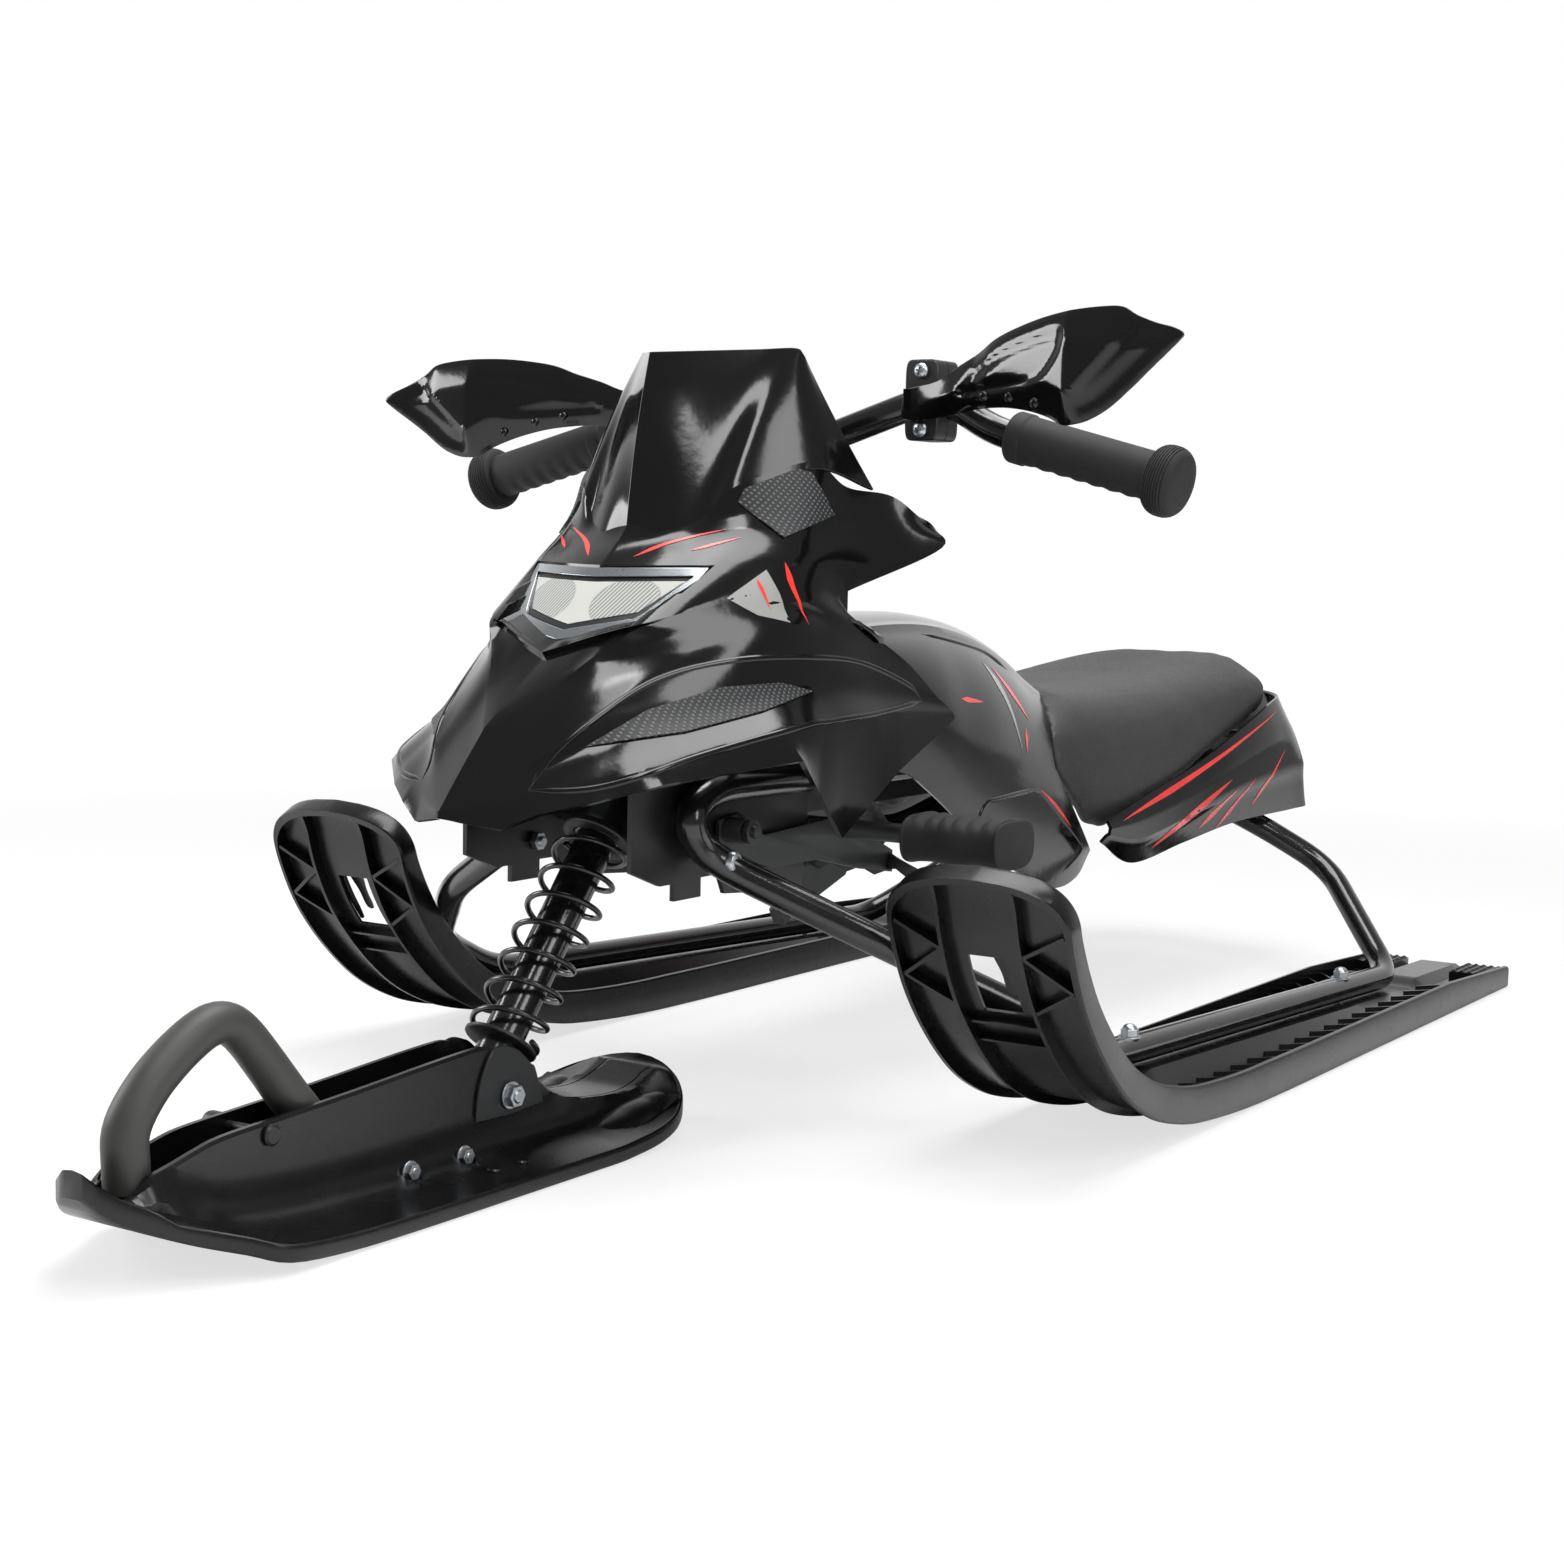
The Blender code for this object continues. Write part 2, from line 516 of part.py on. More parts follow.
# Rounded plates on the outside of the walls, around the pivot
plate_outline = [(-0.3404, 0.0295), (-0.3402, 0.0371), (-0.3374, 0.0507), (-0.3302, 0.0640),
                 (-0.3245, 0.0678), (-0.3182, 0.0684), (-0.3115, 0.0665), (-0.3051, 0.0635),
                 (-0.2947, 0.0545), (-0.2911, 0.0510), (-0.2823, 0.0295)]
plates = {}
for side, label in ((1, "left"), (-1, "right")):
    a, b = side * (WALL_X + GAP), side * (WALL_X + PLATE_T)
    plate = add(f"ski_plate_{label}", prism(plate_outline, min(a, b), max(a, b)), PLASTIC, 0.42, smooth=False)
    cut(plate, rod((-0.1, PIVOT.y, PIVOT.z), (0.1, PIVOT.y, PIVOT.z), PIVOT_R + GAP, 16))
    plates[label] = plate

# Bolts across the channel, low in the walls
for y, z, place in ((-0.399, 0.0170, "front"), (-0.357, 0.0165, "rear")):
    cut(front_ski, rod((-0.040, y, z), (0.040, y, z), 0.0028, 12))
    bolt = add(f"ski_bolt_nose_{place}", rod((-0.0250, y, z), (0.0290, y, z), 0.0025, 12), ZINC, 0.3, 1.0,
               smooth=False)
    # Nut on the left in a counterbore, round head on the right in another
    for inner, end, size, sides in ((0.0235, 0.0275, 0.0046, 6), (-0.0235, -0.0270, 0.0048, 12)):
        outward_x = 1 if end > 0 else -1
        cut(front_ski, rod((inner - outward_x * GAP, y, z), (end + outward_x * 0.016, y, z), 0.0054, 16))
        join(bolt, rod((inner, y, z), (end, y, z), size, sides))

# Pin with a knob across the channel, inside the handle
pin = (-0.4900, 0.0530)
cut(front_ski, rod((-0.1, *pin), (0.1, *pin), 0.0033, 12))
channel_pin = add("channel_pin", rod((-0.0260, *pin), (0.0195, *pin), 0.0030, 12), PLASTIC, 0.4, smooth=False)
join(channel_pin, rod((-0.0250, *pin), (-WALL_X - GAP, *pin), 0.0062, 12))
join(channel_pin, rod((WALL_X + GAP, *pin), (0.0190, *pin), 0.0052, 6))

# Pivot bolt
outer = WALL_X + PLATE_T + GAP
pivot_shank = rod((-outer - 0.002, PIVOT.y, PIVOT.z), (outer + 0.0065, PIVOT.y, PIVOT.z), PIVOT_R, 16)
pivot_bolt = add("pivot_bolt", pivot_shank, ZINC, 0.3, 1.0, smooth=False)
join(pivot_bolt, rod((outer, PIVOT.y, PIVOT.z), (outer + 0.0045, PIVOT.y, PIVOT.z), 0.0066, 6))
join(pivot_bolt, rod((-outer - 0.0045, PIVOT.y, PIVOT.z), (-outer, PIVOT.y, PIVOT.z), 0.0066, 16))

# Pull handle
handle_spine = spine([(0.0, y, z) for y, z in HANDLE_PATH], 0.010, 2)
handle = add("pull_handle", tube(handle_spine, HANDLE_R, 12), (0.060, 0.060, 0.056), 0.55)

# Lower end of the column
fork = add("fork_tube", rod(on_axis(-0.004), on_axis(0.245), FORK_R, 18), BLACK, 0.15)
lug = rod((-CHANNEL + 0.0005, PIVOT.y, PIVOT.z), (CHANNEL - 0.0005, PIVOT.y, PIVOT.z), 0.0118, 20)
join(fork, lug)
cut(fork, rod((-0.1, PIVOT.y, PIVOT.z), (0.1, PIVOT.y, PIVOT.z), PIVOT_R + GAP, 16))
seat_low = add("spring_seat_lower", rod(on_axis(0.0238), on_axis(0.0260), 0.0213, 24), PLASTIC, 0.4)
cut(seat_low, rod(on_axis(0.0), on_axis(0.05), FORK_R + GAP, 20))

# Steering tube, closed by the stem
steer = add("steering_tube", rod(on_axis(STEER_FROM), on_axis(STEER_TO), STEER_R, 20), BLACK, 0.2)
cut(steer, rod(on_axis(STEER_FROM - 0.01), on_axis(0.300), FORK_R + GAP, 20))
cup = add("spring_seat_upper", rod(on_axis(STEER_FROM), on_axis(0.181), 0.0215, 24, 0.0182), PLASTIC, 0.4)
cut(cup, rod(on_axis(0.1), on_axis(0.2), STEER_R + GAP, 20))


# Coil spring
def coil_points():
    side = AXIS.orthogonal().normalized()
    other = AXIS.cross(side)
    wire = 2 * WIRE_R
    low, high = COIL_FROM + WIRE_R + 0.0002, COIL_TO + 0.0003 - WIRE_R
    points = []
    per_turn = 9
    count = int(COIL_TURNS * per_turn)
    ease = 0.9
    for k in range(count + 1):
        turn = COIL_TURNS * k / count
        share = np.clip((turn - ease * 0.5) / (COIL_TURNS - ease), 0, 1)
        start_climb = (wire + 0.0009) * min(turn, ease) / ease * 0.5
        end_climb = (wire + 0.0009) * max(turn - (COIL_TURNS - ease), 0) / ease * 0.5
        body = (high - low - (wire + 0.0009)) * share
        t = low + start_climb + end_climb + body
        angle = 2 * pi * turn
        points.append(on_axis(t) + COIL_R * (cos(angle) * side + sin(angle) * other))
    return points


coil_path = coil_points()
add("coil_spring", tube(coil_path, WIRE_R, 6), BLACK, 0.2)

# Handlebar with its stem
bar_half = spine(BAR_PATH, 0.014, 2)
bar_path = [Vector((-p.x, p.y, p.z)) for p in reversed(bar_half[1:])] + bar_half
handlebar = add("handlebar", tube(bar_path, BAR_R, 12), BLACK, 0.15)
join(handlebar, rod(on_axis(STEER_TO + GAP), on_axis(STEER_TO + 0.028), 0.0170, 20))
join(handlebar, box(-0.019, 0.019, -0.056, -0.026, 0.382, 0.409))
cut(handlebar, rod(on_axis(STEER_TO - 0.05), on_axis(STEER_TO + 0.0003), 0.0400, 20))

# Grips, bored to fit over the bar
bar_end = Vector(BAR_PATH[-1])
bar_dir = (bar_end - Vector(BAR_PATH[-2])).normalized()
bar_bend = Vector(BAR_PATH[-2])


def along_bar(x, side):
    p = bar_bend + bar_dir * ((x - bar_bend.x) / bar_dir.x)
    return Vector((side * p.x, p.y, p.z))


for side, label in ((1, "left"), (-1, "right")):
    a, b = along_bar(GRIP_FROM + 0.010, side), along_bar(GRIP_TO, side)
    grip = add(f"grip_{label}", rod(a, b, GRIP_R, 18), (0.018, 0.018, 0.018), 0.6)
    flange_from, flange_to = along_bar(GRIP_TO - 0.018, side), along_bar(GRIP_TO + 0.0005, side)
    join(grip, rod(flange_from, flange_to, FLANGE_R, 22, FLANGE_R * 0.93))
    join(grip, rod(a, along_bar(GRIP_FROM + 0.018, side), 0.0160, 18))
    cut(grip, rod(along_bar(GRIP_FROM - 0.02, side), along_bar(0.2563, side), BAR_R + GAP, 16))

# Guard clamps and hand guards
for side, label in ((1, "left"), (-1, "right")):
    clamp = add(f"guard_clamp_{label}", box(-0.0115, 0.0115, -0.0130, 0.0130, -0.0245, 0.0245), PLASTIC, 0.4,
                smooth=False)
    for v in clamp.data.vertices:
        v.co = Vector((side * (CLAMP.x + v.co.x), CLAMP.y + v.co.y, CLAMP.z + v.co.z))
    if side < 0:
        clamp.data.flip_normals()
    seg = [Vector((side * p.x, p.y, p.z)) for p in bar_half]
    cut(clamp, tube(seg, BAR_R + GAP, 16))
    for dz, place in ((0.0175, "upper"), (-0.0175, "lower")):
        x, y, z = side * CLAMP.x, CLAMP.y, CLAMP.z + dz
        cut(clamp, rod((x, y - 0.05, z), (x, y + 0.05, z), 0.0024, 10))
        screw = add(f"clamp_screw_{label}_{place}", rod((x, y - 0.0135, z), (x, y + 0.011, z), 0.0021, 10),
                    ZINC, 0.3, 1.0, smooth=False)
        join(screw, rod((x, y - 0.0163, z), (x, y - 0.0133, z), 0.0046, 12, 0.0050))


def guard_y(x):
    return float(np.interp(x, GUARD_X, GUARD_Y))


pts, tris = triangulated(GUARD, 0.014)
edge = np.array(GUARD)
segs = np.roll(edge, -1, 0) - edge
for side, label in ((1, "left"), (-1, "right")):
    bm = bmesh.new()
    verts = []
    for x, z in pts:
        t = np.clip((((x, z) - edge) * segs).sum(1) / (segs ** 2).sum(1), 0, 1)
        depth = np.linalg.norm(edge + segs * t[:, None] - (x, z), axis=1).min()
        bulge = 0.007 * min(depth / 0.018, 1.0) * min(max((x - 0.10) / 0.04, 0.0), 1.0)
        verts.append(bm.verts.new((side * x, guard_y(x) - bulge, z + side * GUARD_TILT * (x - CLAMP.x))))
    for f in tris:
        bm.faces.new([verts[i] for i in f])
    shell(bm, 0.0026, (side * 0.2, 0.3, 0.43))
    guard = add(f"hand_guard_{label}", bm, BLACK, 0.12)
    tab = box(CLAMP.x - 0.009, CLAMP.x + 0.009, guard_y(CLAMP.x) - 0.0005, CLAMP.y - 0.0130 - GAP,
              CLAMP.z - 0.006, CLAMP.z + 0.006)
    for v in tab.verts:
        v.co.x *= side
    if side < 0:
        bmesh.ops.reverse_faces(tab, faces=tab.faces)
    join(guard, tab)

# Front panel
PANEL_STEP = 0.022
hood_surface = surface_through(HOOD_EDGE + HOOD_INSIDE)


def mirrored_panel(outline, surface, step, ridge_points):
    pts, tris = triangulated(outline, step)
    xs = np.maximum(surface(pts), 0.0)
    ridge = np.array(ridge_points)
    a, b = ridge[:-1], ridge[1:]
    for k, p in enumerate(pts):
        t = np.clip(((p - a) * (b - a)).sum(1) / ((b - a) ** 2).sum(1), 0, 1)
        if np.linalg.norm(a + (b - a) * t[:, None] - p, axis=1).min() < 1e-5:
            xs[k] = 0.0
        else:
            xs[k] = max(xs[k], 0.0015)
    bm = bmesh.new()
    for side in (1, -1):
        verts = [bm.verts.new((side * x, p[0], p[1])) for x, p in zip(xs, pts)]
        for f in tris:
            order = f if side > 0 else list(reversed(f))
            bm.faces.new([verts[i] for i in order])
    bmesh.ops.remove_doubles(bm, verts=bm.verts, dist=1e-6)
    return bm


hood_yz = [(y, z) for x, y, z in HOOD_EDGE]
ridge_yz = [(-0.189, 0.351), (-0.214, 0.324), (-0.247, 0.292), (-0.264, 0.279), (-0.314, 0.240),
            (-0.352, 0.196)]
hood_bm = mirrored_panel(hood_yz, hood_surface, PANEL_STEP, ridge_yz)
shell(hood_bm, 0.0030, (0.0, -0.05, 0.25))
hood = add("front_panel", hood_bm, BLACK, 0.12)

# Headlight: a deep housing set through the panel, with the lens in its pocket
LIGHT = ((0.000, 0.3255), (0.066, 0.3270), (0.044, 0.2935), (0.000, 0.2855))
LENS = ((0.000, 0.3205), (0.0560, 0.3220), (0.0400, 0.2985), (0.000, 0.2910))


def light_y(x, z):
    return -0.217 + 5.2 * x * x + 0.966 * (z - 0.32)


def light_block(outline, front, back, grow=0.0):
    """A block through the panel, with its upper and lower edge in columns across the width."""
    wide = outline[1][0] + grow
    rings = []
    for x in np.linspace(-wide, wide, 13):
        share = abs(x) / wide
        top = outline[0][1] + (outline[1][1] - outline[0][1]) * share + grow
        bend = outline[2][0] / outline[1][0]
        if share < bend:
            base = outline[3][1] + (outline[2][1] - outline[3][1]) * share / bend - grow
        else:
            climb = outline[1][1] + 2 * grow - outline[2][1]
            base = outline[2][1] - grow + climb * (share - bend) / (1 - bend)
        base = min(base, top - 0.0012)
        corners = ((top, front), (top, back), (base, back), (base, front))
        rings.append([(x, light_y(x, z) + d, z) for z, d in corners])
    return loft(rings)


cut(hood, light_block(LIGHT, -0.03, 0.03, 0.0005))
trim = add("headlight_trim", light_block(LIGHT, -0.0030, 0.016), (0.6, 0.6, 0.62), 0.25, 1.0, smooth=False)
cut(trim, light_block(LENS, -0.03, 0.0100))
lens = add("headlight_lens", light_block(LENS, -0.0016, 0.0094, -0.0005), (0.75, 0.76, 0.76), 0.1, smooth=False)


def grown_hood(gap=GAP):
    """The panel with the clearance added all round, as a cutter for what lies on it."""
    bm = outward(mirrored_panel(hood_yz, hood_surface, PANEL_STEP, ridge_yz), (0.0, -0.05, 0.25))
    normals = [(v, v.normal.copy()) for v in bm.verts]
    for v, normal in normals:
        v.co += normal * gap
    return shell(bm, 0.0030 + 2 * gap, (0.0, -0.05, 0.25))


# Mesh inlays and side windows, thin plates on the panel
def inlay(name, outline, side, step=0.012):
    pts, tris = triangulated(outline, step)
    xs = hood_surface(pts)
    bm = bmesh.new()
    verts = [bm.verts.new((side * x, p[0], p[1])) for x, p in zip(xs, pts)]
    for f in tris:
        bm.faces.new([verts[i] for i in (f if side > 0 else list(reversed(f)))])
    outward(bm, (0.0, -0.10, 0.25))
    normals = [(v, v.normal.copy()) for v in bm.verts]
    for v, normal in normals:
        v.co += normal * 0.0016
    shell(bm, 0.0025, (0.0, -0.10, 0.25))
    plate = add(name, bm, (0.05, 0.05, 0.05), 0.35)
    cut(plate, grown_hood())
    return plate


for side, label in ((1, "left"), (-1, "right")):
    inlay(f"side_mesh_{label}", POD, side)
    inlay(f"screen_mesh_{label}", SIDE_WINDOW, side, 0.010)


# Windscreen
def grid_surface(rows):
    bm = bmesh.new()
    grid = []
    for row in rows:
        half = [tuple(p) for p in row]
        full = [(-x, y, z) for x, y, z in reversed(half[1:])] + half
        grid.append([bm.verts.new(p) for p in full])
    for a, b in zip(grid, grid[1:]):
        for k in range(len(a) - 1):
            bm.faces.new((a[k], a[k + 1], b[k + 1], b[k]))
    return bm


low, high = np.array(SCREEN_LOW) + (0, 0, 0.0016), np.array(SCREEN_HIGH)
low[3, 2] += 0.0050
share_low = np.linspace(0, 1, len(low))
fine = np.linspace(0, 1, 11)
low = np.stack([np.interp(fine, share_low, low[:, c]) for c in range(3)], 1)
high = np.stack([np.interp(fine, share_low, high[:, c]) for c in range(3)], 1)
screen_rows = [low * (1 - t) + high * t for t in np.linspace(0, 1, 4)]
screen_bm = grid_surface(screen_rows)
shell(screen_bm, 0.0025, (0.0, -0.02, 0.38))
screen = add("windscreen", screen_bm, BLACK, 0.08)
cut(screen, grown_hood())
for side in (1, -1):
    near, far = sorted((side * 0.042, side * 0.0580))
    cut(screen, box(near, far, -0.1760, -0.1590, 0.3600, 0.3798))


# Body panel
def body_rear(x, z):
    return BODY_TO - 1.2 * abs(x) + np.clip((0.190 - z) * 0.95, 0, 0.062)


def body_section(top, low, half, count=8):
    """Half outline from the top middle round to the lower edge."""
    out = []
    middle = low + (top - low) * 0.30
    for k in range(count):
        angle = (pi / 2) * k / (count - 1)
        out.append((half * sin(angle) ** 0.80, middle + (top - middle) * cos(angle) ** 0.72))
    lower = [(half * 0.995, low + (middle - low) * 0.5), (half * 0.965, low)]
    return out + lower


body_rows = []
for s in np.linspace(0, 1, 10):
    top, low_z, half = lerp(BODY, s)
    row = []
    for x, z in body_section(top, low_z, half):
        end = body_rear(x, z)
        row.append((x, BODY_FROM + s * (end - BODY_FROM), z))
    body_rows.append(np.array(row))
body_bm = grid_surface(body_rows)
shell(body_bm, 0.0028, (0.0, 0.10, 0.15))
add("body_panel", body_bm, BLACK, 0.12)


# Seat
def seat_section(top, shoulder, seam, half):
    """Half outline of the cushion from the top middle round to the underside middle."""
    under = min(seam + 0.018, shoulder - 0.040)
    under = max(under, RAIL_TOP + BOARD_T + GAP)
    side = shoulder - seam
    return [(0.0, top), (half * 0.35, top - 0.0004), (half * 0.62, top - (top - shoulder) * 0.42),
            (half * 0.82, shoulder), (half * 0.95, shoulder - side * 0.20), (half, shoulder - side * 0.50),
            (half * 0.985, seam + 0.008), (half * 0.97, seam), (half * 0.85, seam),
            (half * 0.78, max(under, seam + 0.002)), (half * 0.4, max(under, seam + 0.004)),
            (0.0, max(under, seam + 0.004))]


seat_rings = []
for s in np.linspace(0, 1, 13):
    top, shoulder, seam, half = lerp(SEAT, s)
    pts = seat_section(top, shoulder, seam, half)
    full = pts + [(-x, z) for x, z in pts[-2:0:-1]]
    ring = []
    for x, z in full:
        start = body_rear(x, z) + 0.0030
        end = SEAT_TO - 4.6 * x * x - 0.004
        ring.append((x, start + s * (end - start), z))
    seat_rings.append(ring)
seat = add("seat_pad", loft(seat_rings), (0.030, 0.030, 0.031), 0.75)

# Tail panel
tail_low = np.array(TAIL_LOW)
tail_high = np.array(TAIL_HIGH)
fine = np.linspace(0, 1, 15)
share = np.linspace(0, 1, len(tail_low))
tail_low = np.stack([np.interp(fine, share, tail_low[:, c]) for c in range(3)], 1)[::-1]
tail_high = np.stack([np.interp(fine, share, tail_high[:, c]) for c in range(3)], 1)[::-1]
tail_rows = []
for t in np.linspace(0, 1, 4):
    row = tail_low * (1 - t) + tail_high * t
    bow = 0.004 * sin(pi * t)
    row[:, 0] += bow * (row[:, 0] > 0.05)
    row[:, 1] += 0.008 * sin(pi * t) ** 2 * np.clip((row[:, 1] - 0.55) / 0.05, 0, 1)
    tail_rows.append(row)
tail_bm = grid_surface(tail_rows)
shell(tail_bm, 0.0028, (0.0, 0.40, 0.15))
add("tail_panel", tail_bm, BLACK, 0.15)

# Seat base, a flat board under the cushion whose two ears carry the tail panel
seat_base = add("seat_base", box(-BOARD[0], BOARD[0], *BOARD[1:], RAIL_TOP + GAP, RAIL_TOP + BOARD_T),
                PLASTIC, 0.6, smooth=False)
join(seat_base, box(-EARS[0], EARS[0], *EARS[1:], RAIL_TOP + GAP, RAIL_TOP + BOARD_T))
cut(seat_base, shell(grid_surface(tail_rows), 0.0031, (0.0, 0.40, 0.15)))

# Middle frame: column sleeve, bracket plates, two rails and the cross plate under the seat
sleeve = rod(on_axis(SLEEVE_FROM), on_axis(SLEEVE_TO), SLEEVE_R, 20)
middle = add("middle_frame", sleeve, BLACK, 0.35, smooth=False)
join(middle, box(-0.0605, 0.0605, -0.205, -0.150, 0.208, 0.246))
bracket = ((-0.262, 0.215), (-0.262, 0.160), (-0.235, 0.150), (-0.222, 0.150), (-0.222, 0.140),
           (-0.196, 0.140), (-0.196, 0.151), (-0.178, 0.151), (-0.172, 0.139), (-0.090, 0.132),
           (-0.085, 0.170), (-0.085, 0.245), (-0.205, 0.246))
for side in (1, -1):
    a, b = side * 0.0575, side * 0.0605
    join(middle, prism(bracket, min(a, b), max(a, b)))
    a, b = side * 0.022, side * 0.044
    join(middle, box(min(a, b), max(a, b), -0.165, 0.541, RAIL_LOW, RAIL_TOP))
join(middle, box(-0.0605, 0.0605, -0.168, -0.150, RAIL_LOW, 0.215))
join(middle, box(-0.052, 0.052, 0.515, 0.541, 0.128, RAIL_LOW + 0.002))
join(middle, box(-0.030, 0.030, 0.090, 0.110, RAIL_LOW, RAIL_TOP))
join(middle, rod((-0.1155, -0.150, 0.236), (0.1155, -0.150, 0.236), 0.0050, 10))
cut(middle, grown_hood())
join(middle, rod((-0.0945, 0.060, 0.225), (0.0945, 0.060, 0.225), 0.0040, 10))
join(middle, box(-0.006, 0.006, 0.054, 0.066, RAIL_LOW, 0.226))
join(middle, box(-0.030, 0.030, 0.052, 0.068, RAIL_LOW, RAIL_TOP))
cut(middle, shell(grid_surface(body_rows), 0.0031, (0.0, 0.10, 0.15)))
cut(middle, rod(on_axis(SLEEVE_FROM - 0.02), on_axis(SLEEVE_TO + 0.02), STEER_R + GAP, 20))
cut(middle, rod((-0.2, BRAKE_Y, BRAKE_Z), (0.2, BRAKE_Y, BRAKE_Z), 0.0040 + GAP, 16))
for side in (1, -1):
    seg = spine(mirror_path(FRAME_PATH, side), BEND, 3)
    cut(middle, tube(seg, TUBE_R + GAP, 16))

# Bolts that hold the frame tubes to the bracket plates
for side, label in ((1, "left"), (-1, "right")):
    y, z = -0.2010, 0.1625
    leg = bpy.data.objects[f"frame_tube_{label}"]
    for target in (middle, leg):
        cut(target, rod((side * 0.03, y, z), (side * 0.13, y, z), 0.0033, 12))
    cut(leg, rod((side * 0.0850, y, z), (side * 0.13, y, z), 0.0066, 16))
    shank = rod((side * 0.050, y, z), (side * 0.0880, y, z), 0.0030, 12)
    bolt = add(f"leg_bolt_{label}", shank, ZINC, 0.3, 1.0, smooth=False)
    join(bolt, rod((side * 0.0853, y, z), (side * 0.0895, y, z), 0.0062, 16))
    join(bolt, rod((side * 0.0525, y, z), (side * 0.0572, y, z), 0.0056, 6))

# Foot brake: one bent and welded piece that swings on its hinge rod
hinge_rod = rod((-0.0860, BRAKE_Y, BRAKE_Z), (0.0860, BRAKE_Y, BRAKE_Z), 0.0040, 16)
brake = add("foot_brake", hinge_rod, (0.10, 0.10, 0.10), 0.35, 0.6, smooth=False)
join(brake, rod((-0.1783, PEDAL_Y, PEDAL_Z), (0.1783, PEDAL_Y, PEDAL_Z), BRAKE_R, 14))
arm_outline = ((BRAKE_Y - 0.009, BRAKE_Z + 0.006), (BRAKE_Y - 0.009, BRAKE_Z - 0.006), (-0.150, 0.1560),
               (-0.1304, 0.1498), (-0.080, 0.1500), (-0.030, 0.1390), (TEETH_Y + 0.003, 0.1330),
               (TEETH_Y + 0.003, 0.1470), (-0.030, 0.1640), (-0.044, 0.1740), (-0.058, 0.1740),
               (-0.1384, 0.1703), (-0.165, 0.1860))
wave = [(0.0640 - 0.128 * k / 24, 0.1325 + 0.0022 * cos(2 * pi * k / 4)) for k in range(25)]
sheet = prism([(y, z) for y, z in wave] + [(-0.0640, 0.1468), (0.0640, 0.1468)], TEETH_Y, TEETH_Y + SHEET_T)
for v in sheet.verts:
    v.co = Vector((v.co.y, v.co.x, v.co.z))
bmesh.ops.recalc_face_normals(sheet, faces=sheet.faces)
join(brake, sheet)
for side in (1, -1):
    a, b = side * ARM_X, side * (ARM_X + SHEET_T)
    join(brake, prism(arm_outline, min(a, b), max(a, b)))
    wing = []
    for x, y, low, top in ((0.0600, 0.0070, 0.1340, 0.1468), (0.0750, -0.0035, 0.1370, 0.1440),
                           (0.0900, -0.0140, 0.1335, 0.1420), (0.1160, -0.0290, 0.1350, 0.1380)):
        back = y + SHEET_T
        wing.append([(side * x, y, low), (side * x, back, low), (side * x, back, top), (side * x, y, top)])
    join(brake, loft(wing))
    arm_face = side * (ARM_X + SHEET_T - 0.0005)
    join(brake, rod((arm_face, BRAKE_Y, BRAKE_Z), (side * 0.0780, BRAKE_Y, BRAKE_Z), 0.0075, 16))
    join(brake, rod((side * 0.0790, BRAKE_Y, BRAKE_Z), (side * 0.0830, BRAKE_Y, BRAKE_Z), 0.0070, 16))
claw = ((TEETH_Y + 0.0022, 0.1400), (TEETH_Y + 0.0003, 0.1400), (-0.0280, 0.1060), (-0.0220, 0.0960),
        (-0.0140, 0.1010), (0.0500, 0.1210), (0.0560, 0.1290), (0.0500, 0.1340))
join(brake, prism(claw, -0.0045, 0.0045))
x0, x1, deep, tall = PEDAL
for side, label in ((1, "left"), (-1, "right")):
    pad = add(f"pedal_{label}", box(min(side * x0, side * x1), max(side * x0, side * x1), PEDAL_Y - deep / 2,
                                    PEDAL_Y + deep / 2, PEDAL_Z - tall / 2, PEDAL_Z + tall / 2),
              (0.02, 0.02, 0.02), 0.7, smooth=False)
    bevel = pad.modifiers.new("round", "BEVEL")
    bevel.width = 0.0075
    bevel.segments = 2
    cut(pad, rod((side * 0.100, PEDAL_Y, PEDAL_Z), (side * 0.1783, PEDAL_Y, PEDAL_Z), BRAKE_R + GAP, 16))

# Everything moves so that the middle of the length lies on the origin
PIVOTS = {"front_ski": PIVOT, "handlebar": on_axis(STEER_TO), "foot_brake": Vector((0, BRAKE_Y, BRAKE_Z)),
          "fork_tube": COLUMN}
shift = Vector((0, -MID_Y, 0))
for obj in list(sled.objects):
    origin = PIVOTS.get(obj.name, Vector((0, MID_Y, 0)))
    obj.data.transform(Matrix.Translation(-origin))
    obj.location = origin + shift
bpy.context.view_layer.update()
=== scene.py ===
"""Steering sled: the looks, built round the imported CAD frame.

Lengths are metres, or millimetres inside mm(). Y is counted from the sled's own datum, 23.3 mm
behind the middle of its length, and every mesh is moved there as it is made.
"""
from math import cos, pi, radians, sin

import bmesh
import bpy
import numpy as np
from mathutils import Matrix, Vector
from mathutils.bvhtree import BVHTree
from mathutils.geometry import delaunay_2d_cdt


